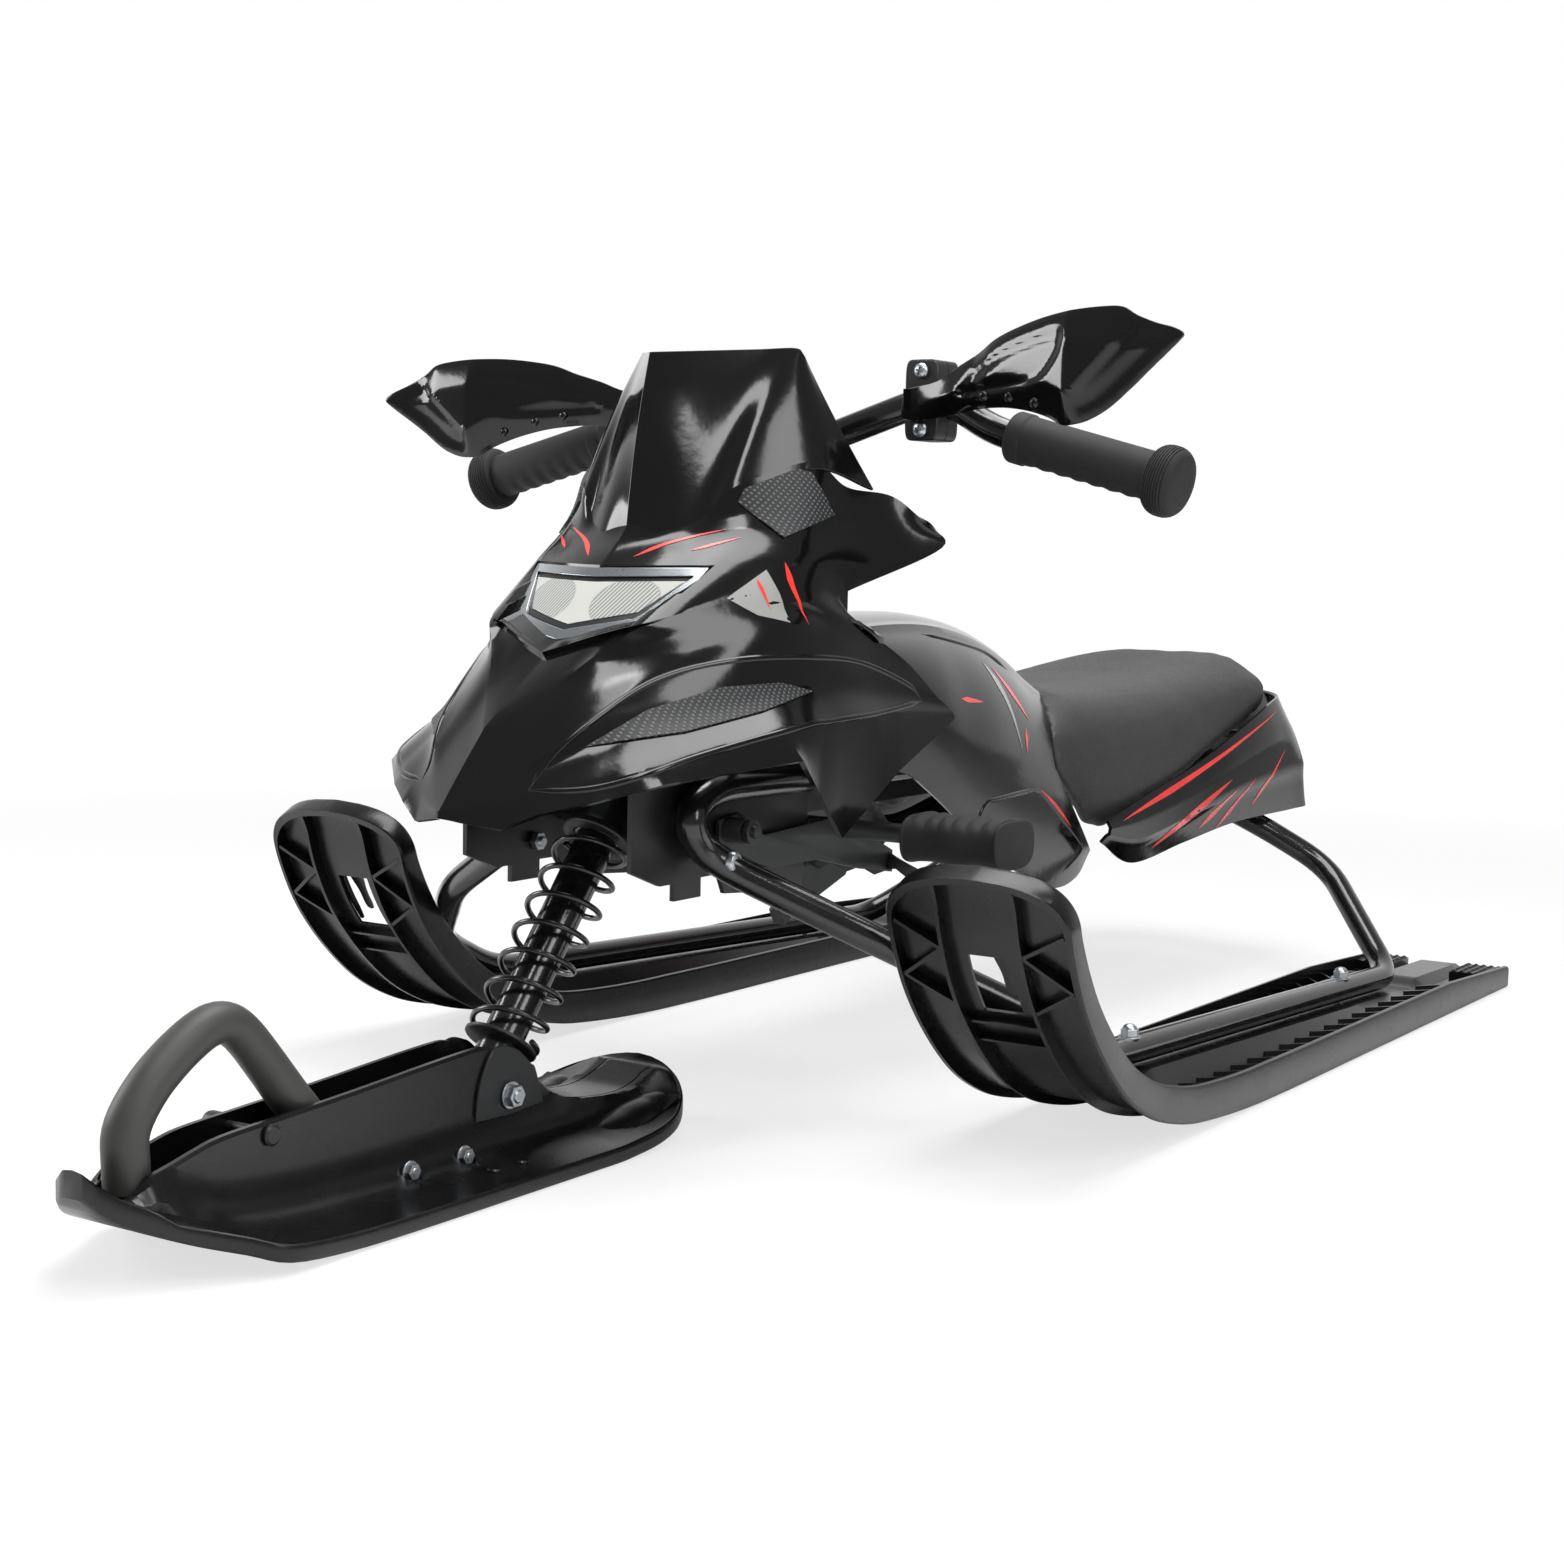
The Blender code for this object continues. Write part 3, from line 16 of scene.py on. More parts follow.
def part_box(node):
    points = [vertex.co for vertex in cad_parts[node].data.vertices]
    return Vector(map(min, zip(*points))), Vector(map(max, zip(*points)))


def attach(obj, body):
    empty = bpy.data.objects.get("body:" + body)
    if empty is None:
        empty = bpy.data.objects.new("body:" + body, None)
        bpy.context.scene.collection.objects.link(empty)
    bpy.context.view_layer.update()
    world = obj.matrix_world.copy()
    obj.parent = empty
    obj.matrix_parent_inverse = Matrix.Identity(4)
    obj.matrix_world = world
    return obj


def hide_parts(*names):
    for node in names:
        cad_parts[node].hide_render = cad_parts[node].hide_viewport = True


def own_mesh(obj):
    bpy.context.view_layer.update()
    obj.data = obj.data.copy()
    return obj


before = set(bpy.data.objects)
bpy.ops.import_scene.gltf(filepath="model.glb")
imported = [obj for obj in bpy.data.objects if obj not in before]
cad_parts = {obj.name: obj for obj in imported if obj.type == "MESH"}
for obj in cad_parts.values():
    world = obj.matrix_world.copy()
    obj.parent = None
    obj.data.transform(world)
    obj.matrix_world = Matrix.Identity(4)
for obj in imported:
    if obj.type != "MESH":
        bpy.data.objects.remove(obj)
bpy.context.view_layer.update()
DATUM = np.array((0, 0.0233, 0))


# Frame tubes. Two 18 mm steel tubes, each bent in one piece: under the body, down to its
# ski, along the ski and up to the seat. They are welded, then powder coated gloss black.
X, Y, Z = np.eye(3)


def mm(*rows):
    """Lengths in millimetres as an array in metres."""
    return np.array(rows) / 1000


def unit(v):
    """The vectors at length one."""
    v = np.asarray(v, float)
    return v / np.linalg.norm(v, axis=-1, keepdims=True)


def rounded(points, bend, steps=7):
    """Centre line: each corner of the polyline becomes a parabola from bend before it to bend after it."""
    points = np.asarray(points, float)
    leg = np.diff(points, axis=0)
    leg = unit(leg) * np.minimum(bend, 0.48 * np.linalg.norm(leg, axis=1))[:, None]
    start, corner, end = [p[:, None] for p in (points[1:-1] - leg[:-1], points[1:-1], points[1:-1] + leg[1:])]
    t = np.linspace(0, 1, steps)[None, :, None]
    arcs = (1 - t) ** 2 * start + 2 * t * (1 - t) * corner + t ** 2 * end
    return np.vstack((points[:1], arcs.reshape(-1, 3), points[-1:]))


def carried(profile, path, first=Z):
    """Section points (across, along the second axis) stood square to the path at every point of it.

    The first axis starts as near as it can to the given direction and is turned as little
    as possible from one section to the next, so that a tube doesn't twist.
    """
    way = unit(np.gradient(path, axis=0))
    side, sides = np.array(first, float), np.empty_like(way)
    for k, w in enumerate(way):
        sides[k] = side = unit(side - w * (side @ w))
    profile = np.broadcast_to(profile, (len(path),) + np.shape(profile)[-2:])
    across, other = sides[:, None], np.cross(way, sides)[:, None]
    return path[:, None] + profile[..., :1] * across + profile[..., 1:] * other


def circle(count):
    """Points round a circle of radius one."""
    a = np.arange(count) * 2 * pi / count
    return np.stack((np.cos(a), np.sin(a)), -1)


def ring(radius, count=28):
    """Circle of the radius, or of one radius for each section when radius is an array."""
    return np.multiply.outer(radius, circle(count))


def stand(name, data):
    """New object of the data, in the scene."""
    obj = bpy.data.objects.new(name, data)
    bpy.context.scene.collection.objects.link(obj)
    return obj


def skin(name, grid, edges=40, around=True, ends=True):
    """Mesh object of quads between the rows of a grid of points; edges is the angle left sharp."""
    grid = np.asarray(grid, float)
    index = np.arange(grid[..., 0].size).reshape(grid.shape[:2])
    wide = np.hstack((index, index[:, :1])) if around else index
    faces = np.stack((wide[:-1, :-1], wide[:-1, 1:], wide[1:, 1:], wide[1:, :-1]), -1).reshape(-1, 4).tolist()
    if around and ends:
        faces += [index[0][::-1].tolist(), index[-1].tolist()]
    mesh = bpy.data.meshes.new(name)
    mesh.from_pydata((grid.reshape(-1, 3) - DATUM).tolist(), [], faces)
    return placed(name, mesh, edges)


def placed(name, mesh, edges=40):
    """Object of the mesh, doubles merged and faces turned outwards, smooth up to the angle."""
    work = bmesh.new()
    work.from_mesh(mesh)
    bmesh.ops.remove_doubles(work, verts=work.verts, dist=1e-6)
    bmesh.ops.dissolve_degenerate(work, edges=work.edges, dist=1e-7)
    bmesh.ops.recalc_face_normals(work, faces=work.faces)
    work.to_mesh(mesh)
    work.free()
    mesh.shade_smooth()
    mesh.set_sharp_from_angle(angle=radians(edges))
    return stand(name, mesh)


def joined(name, parts):
    """One object of several skins that are fixed together for good."""
    work = bmesh.new()
    for part in parts:
        work.from_mesh(part.data)
        bpy.data.objects.remove(part)
    mesh = bpy.data.meshes.new(name)
    work.to_mesh(mesh)
    work.free()
    return stand(name, mesh)


def modified(obj, kind, **settings):
    """The object with one more modifier."""
    made = obj.modifiers.new(kind.lower(), kind)
    for key, value in settings.items():
        setattr(made, key, value)
    return obj


def softened(obj, width, angle=32, segments=2):
    """Moulded or broken edges: a small bevel where faces meet at more than the angle."""
    return modified(obj, "BEVEL", width=width, segments=segments, limit_method="ANGLE",
                    angle_limit=radians(angle), harden_normals=True)


def fitted(obj, finish, body, slot=None, *nodes):
    """The piece gets its finish, rides on its body and stands for its CAD nodes."""
    obj.data.materials.clear()
    obj.data.materials.append(finish)
    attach(obj, body)
    if nodes:
        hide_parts(*nodes)
    return obj


def linear(hex_colour):
    """sRGB hex to the linear colour that a shader takes."""
    s = np.array([int(hex_colour[k:k + 2], 16) / 255 for k in (1, 3, 5)])
    return (*np.where(s <= 0.04045, s / 12.92, ((s + 0.055) / 1.055) ** 2.4), 1)


class Nodes:
    """Node tree of a material or of the world, built up call by call."""

    def __init__(self, owner):
        owner.use_nodes = True
        self.owner, self.tree = owner, owner.node_tree
        self.tree.nodes.clear()

    def add(self, kind, settings=None, **inputs):
        """New node: settings are its properties; an input takes a value, a hex colour, a socket or a node."""
        made = self.tree.nodes.new("ShaderNode" + kind)
        for key, value in (settings or {}).items():
            setattr(made, key, value)
        for key, value in inputs.items():
            socket = made.inputs[int(key[1:]) if key[1:].isdigit() else key.replace("_", " ")]
            value = value.outputs[0] if isinstance(value, bpy.types.Node) else value
            if isinstance(value, bpy.types.NodeSocket):
                self.tree.links.new(value, socket)
            else:
                socket.default_value = linear(value) if isinstance(value, str) else value
        return made

    def maths(self, operation, *values, kind="Math"):
        """What the operation makes of the values."""
        return self.add(kind, {"operation": operation}, **{f"i{k}": value for k, value in enumerate(values)})

    def ranged(self, value, before=(0, 1), after=(0, 1), clamp=True):
        """The value carried from one range to another."""
        return self.add("MapRange", {"clamp": clamp}, Value=value, From_Min=before[0], From_Max=before[1],
                        To_Min=after[0], To_Max=after[1])

    def mix(self, share, first, second):
        """Colour between the two, by the share."""
        return self.add("Mix", {"data_type": "RGBA"}, i0=share, i6=first, i7=second).outputs[2]

    def bump(self, height, strength, distance):
        """Relief by the height."""
        return self.add("Bump", Strength=strength, Distance=distance, Height=height)

    def ended(self, kind="BsdfPrincipled", **inputs):
        """The material, ended in a shader."""
        self.add("OutputMaterial", Surface=self.add(kind, **inputs))
        return self.owner


def new_finish(name):
    """Nodes of an empty material, with the Object coordinates that its patterns read."""
    nodes = Nodes(bpy.data.materials.new(name))
    return nodes, nodes.add("TexCoord").outputs["Object"]


def coated(name, hex_colour, rough, spread, bump, grain, metallic=0, ior=1.5, coat=0):
    """A plain coloured surface: colour and roughness drift over some centimetres, and a fine bump lies on it.

    grain is the size of the fine bump in metres; spread is how far the roughness drifts.
    """
    nodes, place = new_finish(name)
    drift = nodes.add("TexNoise", Vector=place, Scale=28, Detail=3)
    fine = nodes.add("TexNoise", Vector=place, Scale=1 / grain, Detail=2)
    base = linear(hex_colour)
    worn = (*np.minimum(np.array(base[:3]) * 1.35 + 0.002, 1), 1)
    return nodes.ended(Base_Color=nodes.mix(drift, base, worn), Metallic=metallic, IOR=ior, Coat_Weight=coat,
                       Roughness=nodes.ranged(drift, after=(rough - spread, rough + spread)),
                       Coat_Roughness=0.08, Normal=nodes.bump(fine, bump, grain * 0.2))


TUBE_R = 0.009
RUN = mm((0, 39.6), (471.3, 19.7))
TUBE_PATH = mm(
    (66, 160, 200), (66, -50, 201), (68, -200, 203), (73, -230, 187), (70.2, -202.6, 163.4),
    (155, -161.9, 121.5), (233.4, -88, 70), (233.4, -30, 40.9), (233.4, 471.3, 19.7), (152, 550, 87.7),
    (100, 536.5, 117.9), (50, 529, 140))
SIDES = ((1, "left"), (-1, "right"))

# Powder coat on steel: a thick glossy film with a slight orange peel of about 1.5 mm.
powder_coat = coated("powder_coated_steel_gloss_black", "#121213", 0.16, 0.05, 0.25, 0.0015, coat=0.3)
for side, label in SIDES:
    tube = skin(f"tube_{label}", carried(ring(TUBE_R), rounded(TUBE_PATH * (side, 1, 1), 0.026, 9)))
    fitted(tube, powder_coat, "chassis", "frame_paint", f"frame_tube_{label}")


# Rear skis. Two moulded polyethylene runners with a rim all round, two ribs under the curled
# tip with braces to the rim, an open slot between them, and ladder ribs along the deck.
SKI_X, SKI_HALF, RIM = 0.2334, 0.0567, 0.0042
SKI_LINE = mm(
    (-196.5, 166), (-189, 152), (-181, 127), (-165, 96), (-140, 66), (-108, 39), (-70, 20), (-30, 9.5),
    (10, 4.5), (70, 1), (140, 0), (240, 0), (360, 0), (480, 0), (540, 0), (590, 0))
SKI_DECK = 0.009


def eased(points, steps):
    """Smooth curve through the points: cubic pieces whose slope at a point is that of its neighbours."""
    p = np.asarray(points, float)
    m = np.gradient(p, axis=0)
    t = np.linspace(0, 1, steps, endpoint=False)[None, :, None]
    a, b, ma, mb = p[:-1, None], p[1:, None], m[:-1, None], m[1:, None]
    curve = ((2 * t ** 3 - 3 * t ** 2 + 1) * a + (t ** 3 - 2 * t ** 2 + t) * ma
             + (3 * t ** 2 - 2 * t ** 3) * b + (t ** 3 - t ** 2) * mb)
    return np.vstack((curve.reshape(-1, p.shape[1]), p[-1:]))


def evenly(curve, step):
    """The curve at equal steps of length, and the length gone at each."""
    gone = np.concatenate(((0,), np.cumsum(np.linalg.norm(np.diff(curve, axis=0), axis=1))))
    at = np.linspace(0, gone[-1], int(gone[-1] / step) + 1)
    return np.stack([np.interp(at, gone, c) for c in curve.T], -1), at


ski_yz, ski_s = evenly(eased(SKI_LINE, 12), 0.003)
ski_way = unit(np.gradient(ski_yz, axis=0))


def on_ski(s, x, h, middle=SKI_X):
    """Point of a ski: s along its underside from the tip, x from its middle, h square to it."""
    y, z, way_y, way_z = [np.interp(s, ski_s, c) for c in (*ski_yz.T, *ski_way.T)]
    return np.stack(np.broadcast_arrays(middle + x, y - way_z * h, z + way_y * h), -1)


def s_at(y):
    """Length along the ski from the tip to the place y."""
    return np.interp(y, ski_yz[:, 0], ski_s)


def arch(e):
    """Half width of the tip at the distance e behind its edge: a quarter of a superellipse, 30 mm deep."""
    return SKI_HALF * (1 - (1 - np.clip(e / 0.030, 0, 1)) ** 2.3) ** (1 / 2.3)


def run_height(y):
    """Middle of the frame tube over the ski."""
    return RUN[0, 1] + (RUN[1, 1] - RUN[0, 1]) * y / RUN[1, 0]


def ski_section(s):
    """Closed section of the ski at s, from the middle of its underside round by its rims."""
    y, z = [np.interp(s, ski_s, c) for c in ski_yz.T]
    half = np.maximum(arch(s), 0.004)
    inner = np.clip(arch(s - RIM) - RIM, 0, None)
    hollow = np.clip((s - RIM) / 0.002, 0, 1)
    deep = hollow * np.interp(y, (-0.10, 0.02, 0.10), mm(7.2, 3, 1.4))
    rib = np.interp(y, (-0.16, 0, 0.10), mm(24, 22.5, 21.5))
    wall = np.interp(y, (-0.196, -0.17, -0.05, 0.1, 0.45, 0.59), mm(13, 16.5, 22, 24.5, 23.5, 16.5))
    deck = wall + (SKI_DECK - wall) * hollow
    on_run = np.clip((y + 0.035) / 0.045, 0, 1)
    crown = deck + on_run * np.clip(run_height(y) - TUBE_R - 0.0009 - z - SKI_DECK, 0.0004, None)
    crown = np.where(y > 0.47, np.interp(y, (0.478, 0.492, 0.59), mm(11.5, 16.5, 14)), crown)
    ledge = deck + 0.0055 * on_run * np.clip((0.53 - y) / 0.03, 0, 1)
    pinch = lambda x: np.minimum(x, inner)
    loop = (
        (0, deep), (pinch(rib - 0.0016), deep), (pinch(rib - 0.0012), deep * 0.04),
        (pinch(rib + 0.0012), deep * 0.04), (pinch(rib + 0.0016), deep), (inner, deep), (inner + 0.0006, 0),
        (half - 0.0012, 0), (half, 0.0012), (half, wall - 0.0022), (half - 0.001, wall - 0.0004),
        (half - 0.0022, wall), (inner + 0.0004, wall), (inner, deck), (pinch(0.0425), deck),
        (pinch(0.0419), ledge), (pinch(0.0392), ledge), (pinch(0.033), deck), (pinch(0.0225), deck),
        (pinch(0.014), crown), (pinch(0.007), crown))
    x, h = [np.stack(np.broadcast_arrays(*column), -1) for column in zip(*loop)]
    return np.hstack((x, 0 * x[:, :1], -x[:, :0:-1])), np.hstack((h, crown[:, None], h[:, :0:-1]))


def brace(s0, x0, s1, x1, low, high, thick=0.0022, steps=7):
    """Thin upright rib on the ski between two points of it, from the height low to high."""
    t = np.linspace(0, 1, steps)
    s, x = s0 + (s1 - s0) * t, x0 + (x1 - x0) * t
    out_s, out_x = unit((x0 - x1, s1 - s0)) * thick / 2
    corners = ((1, low), (1, high), (-1, high), (-1, low))
    return skin("brace", np.stack([on_ski(s + k * out_s, x + k * out_x, h) for k, h in corners], 1))


def evaluated(obj):
    """The object's mesh with its modifiers carried out."""
    bpy.context.view_layer.update()
    return bpy.data.meshes.new_from_object(obj.evaluated_get(bpy.context.evaluated_depsgraph_get()))


def walled(surface, thick, edges):
    """Shell of the thickness behind the surface, its rim closed."""
    mesh = evaluated(modified(surface, "SOLIDIFY", thickness=thick, offset=-1))
    name = surface.name
    bpy.data.objects.remove(surface)
    return placed(name, mesh, edges)


def plate_of(name, grid, thick, edges=24):
    """Shell of the thickness behind a grid of points."""
    return walled(skin(name, grid, edges, around=False), thick, edges)


def carved(obj, *cutters):
    """Takes the cutters out of the object for good."""
    for cutter in cutters:
        modified(obj, "BOOLEAN", object=cutter, operation="DIFFERENCE", solver="EXACT")
    mesh = evaluated(obj)
    obj.modifiers.clear()
    obj.data = mesh
    for cutter in cutters:
        bpy.data.objects.remove(cutter)
    mesh.shade_smooth()
    mesh.set_sharp_from_angle(angle=radians(38))
    return obj


def patch(first, last, rows, columns):
    """Two grids of parameters, which run from first to last along the rows and along the columns."""
    return np.meshgrid(np.linspace(first, last, rows), np.linspace(first, last, columns), indexing="ij")


# Polyethylene comes out of its mould satin, with a faint 0.8 mm grain and a tone that drifts paler in
# patches.
runner_plastic = coated("moulded_polyethylene_satin_black", "#09090A", 0.27, 0.05, 0.15, 0.0008, ior=1.46)
s = np.concatenate((np.linspace(0, 0.034, 26), np.arange(0.037, ski_s[-1], 0.004), ski_s[-1:]))
# Bulged cover that stands over most of the slot
u, v = patch(-1, 1, 13, 9)
cover = on_ski(0.069 + 0.024 * u, 0.0045 + 0.010 * v, 0.0105 + 0.0035 * (1 - v ** 2) * (1 - u ** 4))
# Hooked stop in front of the tube
hook_s, hook_h = s_at(mm(-70, -48, -48, -55, -60, -70)), mm(9.5, 9.5, 23.5, 18.5, 18.5, 29.5)
# Foot pads on the two rear corners, each a raised block with rows of knurls
u, v = patch(0, 1, 41, 29)
at_rim = np.minimum(np.minimum(u, 1 - u) * 41, np.minimum(v, 1 - v) * 29) < 1
knurls = 0.0155 + np.where(at_rim, -0.004, 0.0014 * (np.sin(u * 9 * pi) * np.sin(v * 5 * pi)) ** 2)
wall_s, wall_x = s_at(mm(544, 586, 586, 544)), mm(23.5, 23.5, 53.5, 53.5)
for side, label in SIDES:
    parts = [skin("runner", on_ski(s[:, None], *ski_section(s)))]
    parts += [brace(root, turn * 0.025, end, turn * 0.052, 0.0006, 0.0078)
              for root, ends in ((0.046, (0.031, 0.066)), (0.084, (0.066,)))
              for turn in (1, -1) for end in ends]
    parts += [brace(place, -0.0235, place, 0.0235, 0.003, 0.008) for place in (0.100, 0.117)]
    parts += [brace(s_at(y), turn * 0.025, s_at(y + 0.034), turn * 0.0524, 0.0088, 0.0158, 0.0016, 3)
              for y in np.arange(0.030, 0.480, 0.027) for turn in (1, -1)]
    parts.append(plate_of("slot cover", cover, 0.0018))
    for turn in (1, -1):
        pad = on_ski(s_at(0.544 + 0.042 * u), turn * (0.0235 + 0.03 * v), knurls)
        parts += [skin("pad", pad, around=False),
                  skin("pad wall", [on_ski(wall_s, turn * wall_x, h) for h in (0.008, 0.0152)])]
    parts.append(skin("stop", [on_ski(hook_s, x, hook_h) for x in (0.0135, 0.0175)]))
    ski = joined(f"ski_{label}", parts)
    if side < 0:
        ski.data.transform(Matrix.Scale(-1, 4, X))
        ski.data.flip_normals()
    slot = skin("slot", [on_ski(mm(52, 52, 94, 94), mm(-12.5, 12.5, 12.5, -12.5), h, side * SKI_X)
                         for h in (-0.004, 0.014)])
    fitted(softened(carved(ski, slot), 0.0007), runner_plastic, "chassis", "ski_plastic", f"rear_ski_{label}")


# Ski bolts. Each ski is held by two M6 bolts through the tube, with a zinc plated dome
# nut on top and a washer under it.
def turned(profile, base, axis, count=32):
    """Solid of revolution: (place on the axis, radius) pairs turned about an axis from the base point."""
    axis = unit(axis)
    first = unit(np.cross(axis, (0.3, 0.9, 0.2) if abs(axis[0]) < 0.9 else Z))
    t, r = np.array(profile, float).T[..., None, None]
    around, other = circle(count)[None].transpose(2, 0, 1)[..., None]
    return base + t * axis + r * (around * first + other * np.cross(axis, first))


def rod(start, end, radius):
    """Profile of a plain round bar."""
    return (start, 0), (start, radius), (end, radius), (end, 0)


zinc_steel = coated("zinc_plated_steel", "#B4B8BC", 0.34, 0.08, 0.15, 0.0006, metallic=1)
for side, label in SIDES:
    for y, place in ((0.012, "front"), (0.369, "rear")):
        top = np.array((side * SKI_X, y, run_height(y) + TUBE_R))
        parts = [skin("hexagon", turned(mm((0, 5.77), (4.125, 5.77)), top, Z, 6), 25),
                 skin("washer", turned(rod(-0.0012, -0.0002, 0.007), top, Z)),
                 skin("dome", turned(mm((3.75, 0), (3.75, 4.7), (5.4, 4.3), (6.75, 2.8), (7.5, 0)), top, Z)),
                 skin("shank", turned(rod(-0.024, 0, 0.003), top, Z))]
        nut = softened(joined(f"ski_nut_{label}_{place}", parts), 0.0003, 40)
        fitted(nut, zinc_steel, "chassis", "zinc_steel", f"ski_bolt_{label}_{place}")


# Steering column. A steering tube of 28 mm steel turns in the frame's sleeve and the fork
# tube slides in it; the lower end of the fork is flattened round the ski pivot.
LEAN = radians(38.7)
COLUMN, AXIS, PIVOT = mm(0, -314.8, 45), np.array((0, sin(LEAN), cos(LEAN))), mm(0, -313.4, 40.3)


def on_column(profile, count=40):
    """Solid of revolution about the column; its profile is in millimetres from the column's base."""
    return turned(mm(*profile), COLUMN, AXIS, count)


fork = joined("fork", [
    skin("tube", on_column(((4, 0), (4, 10), (5.2, 11.8), (244, 11.8), (245, 10.8), (245, 0)))),
    skin("lug", turned(mm((-11.8, 0), (-11.8, 10.8), (-10.8, 11.8), (10.8, 11.8), (11.8, 10.8), (11.8, 0)),
                       PIVOT, X, 40)),
    skin("weld", on_column(((6, 11.8), (8, 13.4), (11, 13.4), (13.5, 11.8))), ends=False)])
fitted(fork, powder_coat, "fork", "frame_paint", "fork_tube")
post = ((159, 12.1), (159, 13.6), (160, 14.2), (402, 14.2), (404, 13.6), (415, 13.6), (415, 0))
collar = ((301.5, 0), (301.5, 17.8), (303, 18.8), (313, 18.8), (314.5, 17.8), (314.5, 0))
steer = joined("steering_post", [skin("post", on_column(post), ends=False),
                                 skin("collar", on_column(collar))])
fitted(steer, powder_coat, "steering", "frame_paint", "steering_tube")


# Spring seats. Two moulded black cups: a thin one on the fork and a deep flared one that
# closes the steering tube above the coil.
column_plastic = coated("moulded_nylon_satin_black", "#17181A", 0.42, 0.06, 0.15, 0.0008)
LOW_CUP = (
    (23.8, 12.1), (23.8, 20.7), (24.3, 21.3), (25.6, 21.3), (26, 20.9), (26, 17.5), (26.4, 15),
    (26.4, 12.1))
HIGH_CUP = (
    (159, 14.5), (159, 20.7), (159.8, 21.5), (162.8, 21.6), (164, 20.6), (165.5, 20.3), (179, 18.6),
    (180.6, 17.8), (181, 16.8), (181, 14.5))
for label, profile, body in (("lower", LOW_CUP, "fork"), ("upper", HIGH_CUP, "steering")):
    cup = skin(f"spring_cup_{label}", on_column(profile, 48), 30, ends=False)
    fitted(cup, column_plastic, body, "black_plastic", f"spring_seat_{label}")


# Coil spring. Wire of 3.4 mm wound cold in seven and a half turns, closed at both ends and
# dipped in glossy black paint.
COIL_FROM, COIL_TO, COIL_R, WIRE_R, COIL_TURNS = 0.0266, 0.1566, 0.0202, 0.0017, 7.5
CLOSED_TURNS, CLOSED_STEP = 0.9, 2 * WIRE_R + 0.0009


def coil_line(count):
    """Helix on the column: it climbs little more than a wire in the closed turns and evenly between them."""
    turn = np.linspace(0, COIL_TURNS, count)
    rise = COIL_TO - COIL_FROM - 2 * WIRE_R - CLOSED_STEP
    t = COIL_FROM + WIRE_R + rise * np.clip((turn - CLOSED_TURNS / 2) / (COIL_TURNS - CLOSED_TURNS), 0, 1)
    closed = np.minimum(turn, CLOSED_TURNS) + np.maximum(turn - (COIL_TURNS - CLOSED_TURNS), 0)
    t += CLOSED_STEP / 2 * closed / CLOSED_TURNS
    a = (2 * pi * turn)[:, None]
    return COLUMN + t[:, None] * AXIS + COIL_R * (np.cos(a) * X + np.sin(a) * np.cross(AXIS, X))


spring_paint = coated("spring_steel_black_enamel", "#151517", 0.22, 0.06, 0.2, 0.0012, coat=0.3)
coil = skin("coil", carried(ring(WIRE_R, 16), coil_line(int(COIL_TURNS * 56)), AXIS), 60)
fitted(coil, spring_paint, "steering", "spring_paint", "coil_spring")
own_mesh(coil)


# Front ski. One polyethylene moulding: a flat blade with a half-round tail, a rim all round,
# a rounded spine with an open channel between two upright walls, and a curled nose.
NOSE_ROWS = mm(
    (-596.5, 42, 7, 51), (-593, 36.5, 15.5, 53.5), (-585, 30, 22.5, 52), (-573, 24, 30.5, 47.5),
    (-556, 17, 40, 50), (-538, 11, 52, 54.5), (-520, 5, 62.5, 58), (-480, 1, 62.5, 60.5),
    (-430, 0, 62.5, 63.5), (-352, 0, 62.5, 69), (-327, 0, 62.5, 68.5), (-306, 0, 62.5, 59),
    (-288, 0, 62.5, 46), (-274, 0, 62.5, 35), (-260, 0.5, 62.5, 29), (-233, 3, 62, 25),
    (-212, 7.5, 58.8, 24.5), (-196, 13.5, 50.3, 28), (-184, 19.5, 39, 32), (-175, 24.5, 24, 35.5),
    (-171.5, 27, 10, 36.5))
WALL_X, CHANNEL = 0.0165, 0.0125
NOSE_BOLTS = ((-0.399, 0.0170, "front"), (-0.357, 0.0165, "rear"))


def nose_section(row):
    """Closed section of the front ski from a row: its place, its underside, its half width and its top."""
    y, z, half, top = row
    rise = top - z
    walled_share = np.clip((half - 0.027) / 0.008, 0, 1)
    rim = 0.009 + 0.0035 * np.clip((-0.565 - y) / 0.01, 0, 1)
    low = min(0.0112, rise - 0.0006)
    left = max(rise - low, 0)
    spread = np.array(((half - 0.0035, rim - 0.0004), (0.62 * half + 0.38 * WALL_X, low),
                       (0.30 * half + 0.70 * WALL_X, low + min(0.0012, left)),
                       (WALL_X + 0.0065, low + min(0.0058, left)), (WALL_X + 0.0022, low + min(0.014, left)),
                       (WALL_X, low + min(0.023, left)), (WALL_X, rise - min(0.0018, left * 0.3)),
                       (WALL_X - 0.0012, rise), (CHANNEL + 0.0006, rise)))
    dome = [(half * k, rim + 0.001 * (1 - k)) for k in (0.92, 0.82, 0.70, 0.58, 0.46, 0.36, 0.27, 0.18, 0.09)]
    inner = spread * walled_share + np.array(dome) * (1 - walled_share)
    edge = ((0, 0), (half * 0.5, 0), (half - 0.002, 0), (half - 0.0006, 0.0006), (half, 0.002),
            (half, rim - 0.002), (half - 0.0006, rim - 0.0006), (half - 0.0018, rim))
    loop = np.vstack((edge, inner, ((0, inner[-1, 1]),)))
    loop = np.vstack((loop, loop[-2:0:-1] * (-1, 1)))
    return np.column_stack((loop[:, 0], np.full(len(loop), y), z + loop[:, 1]))


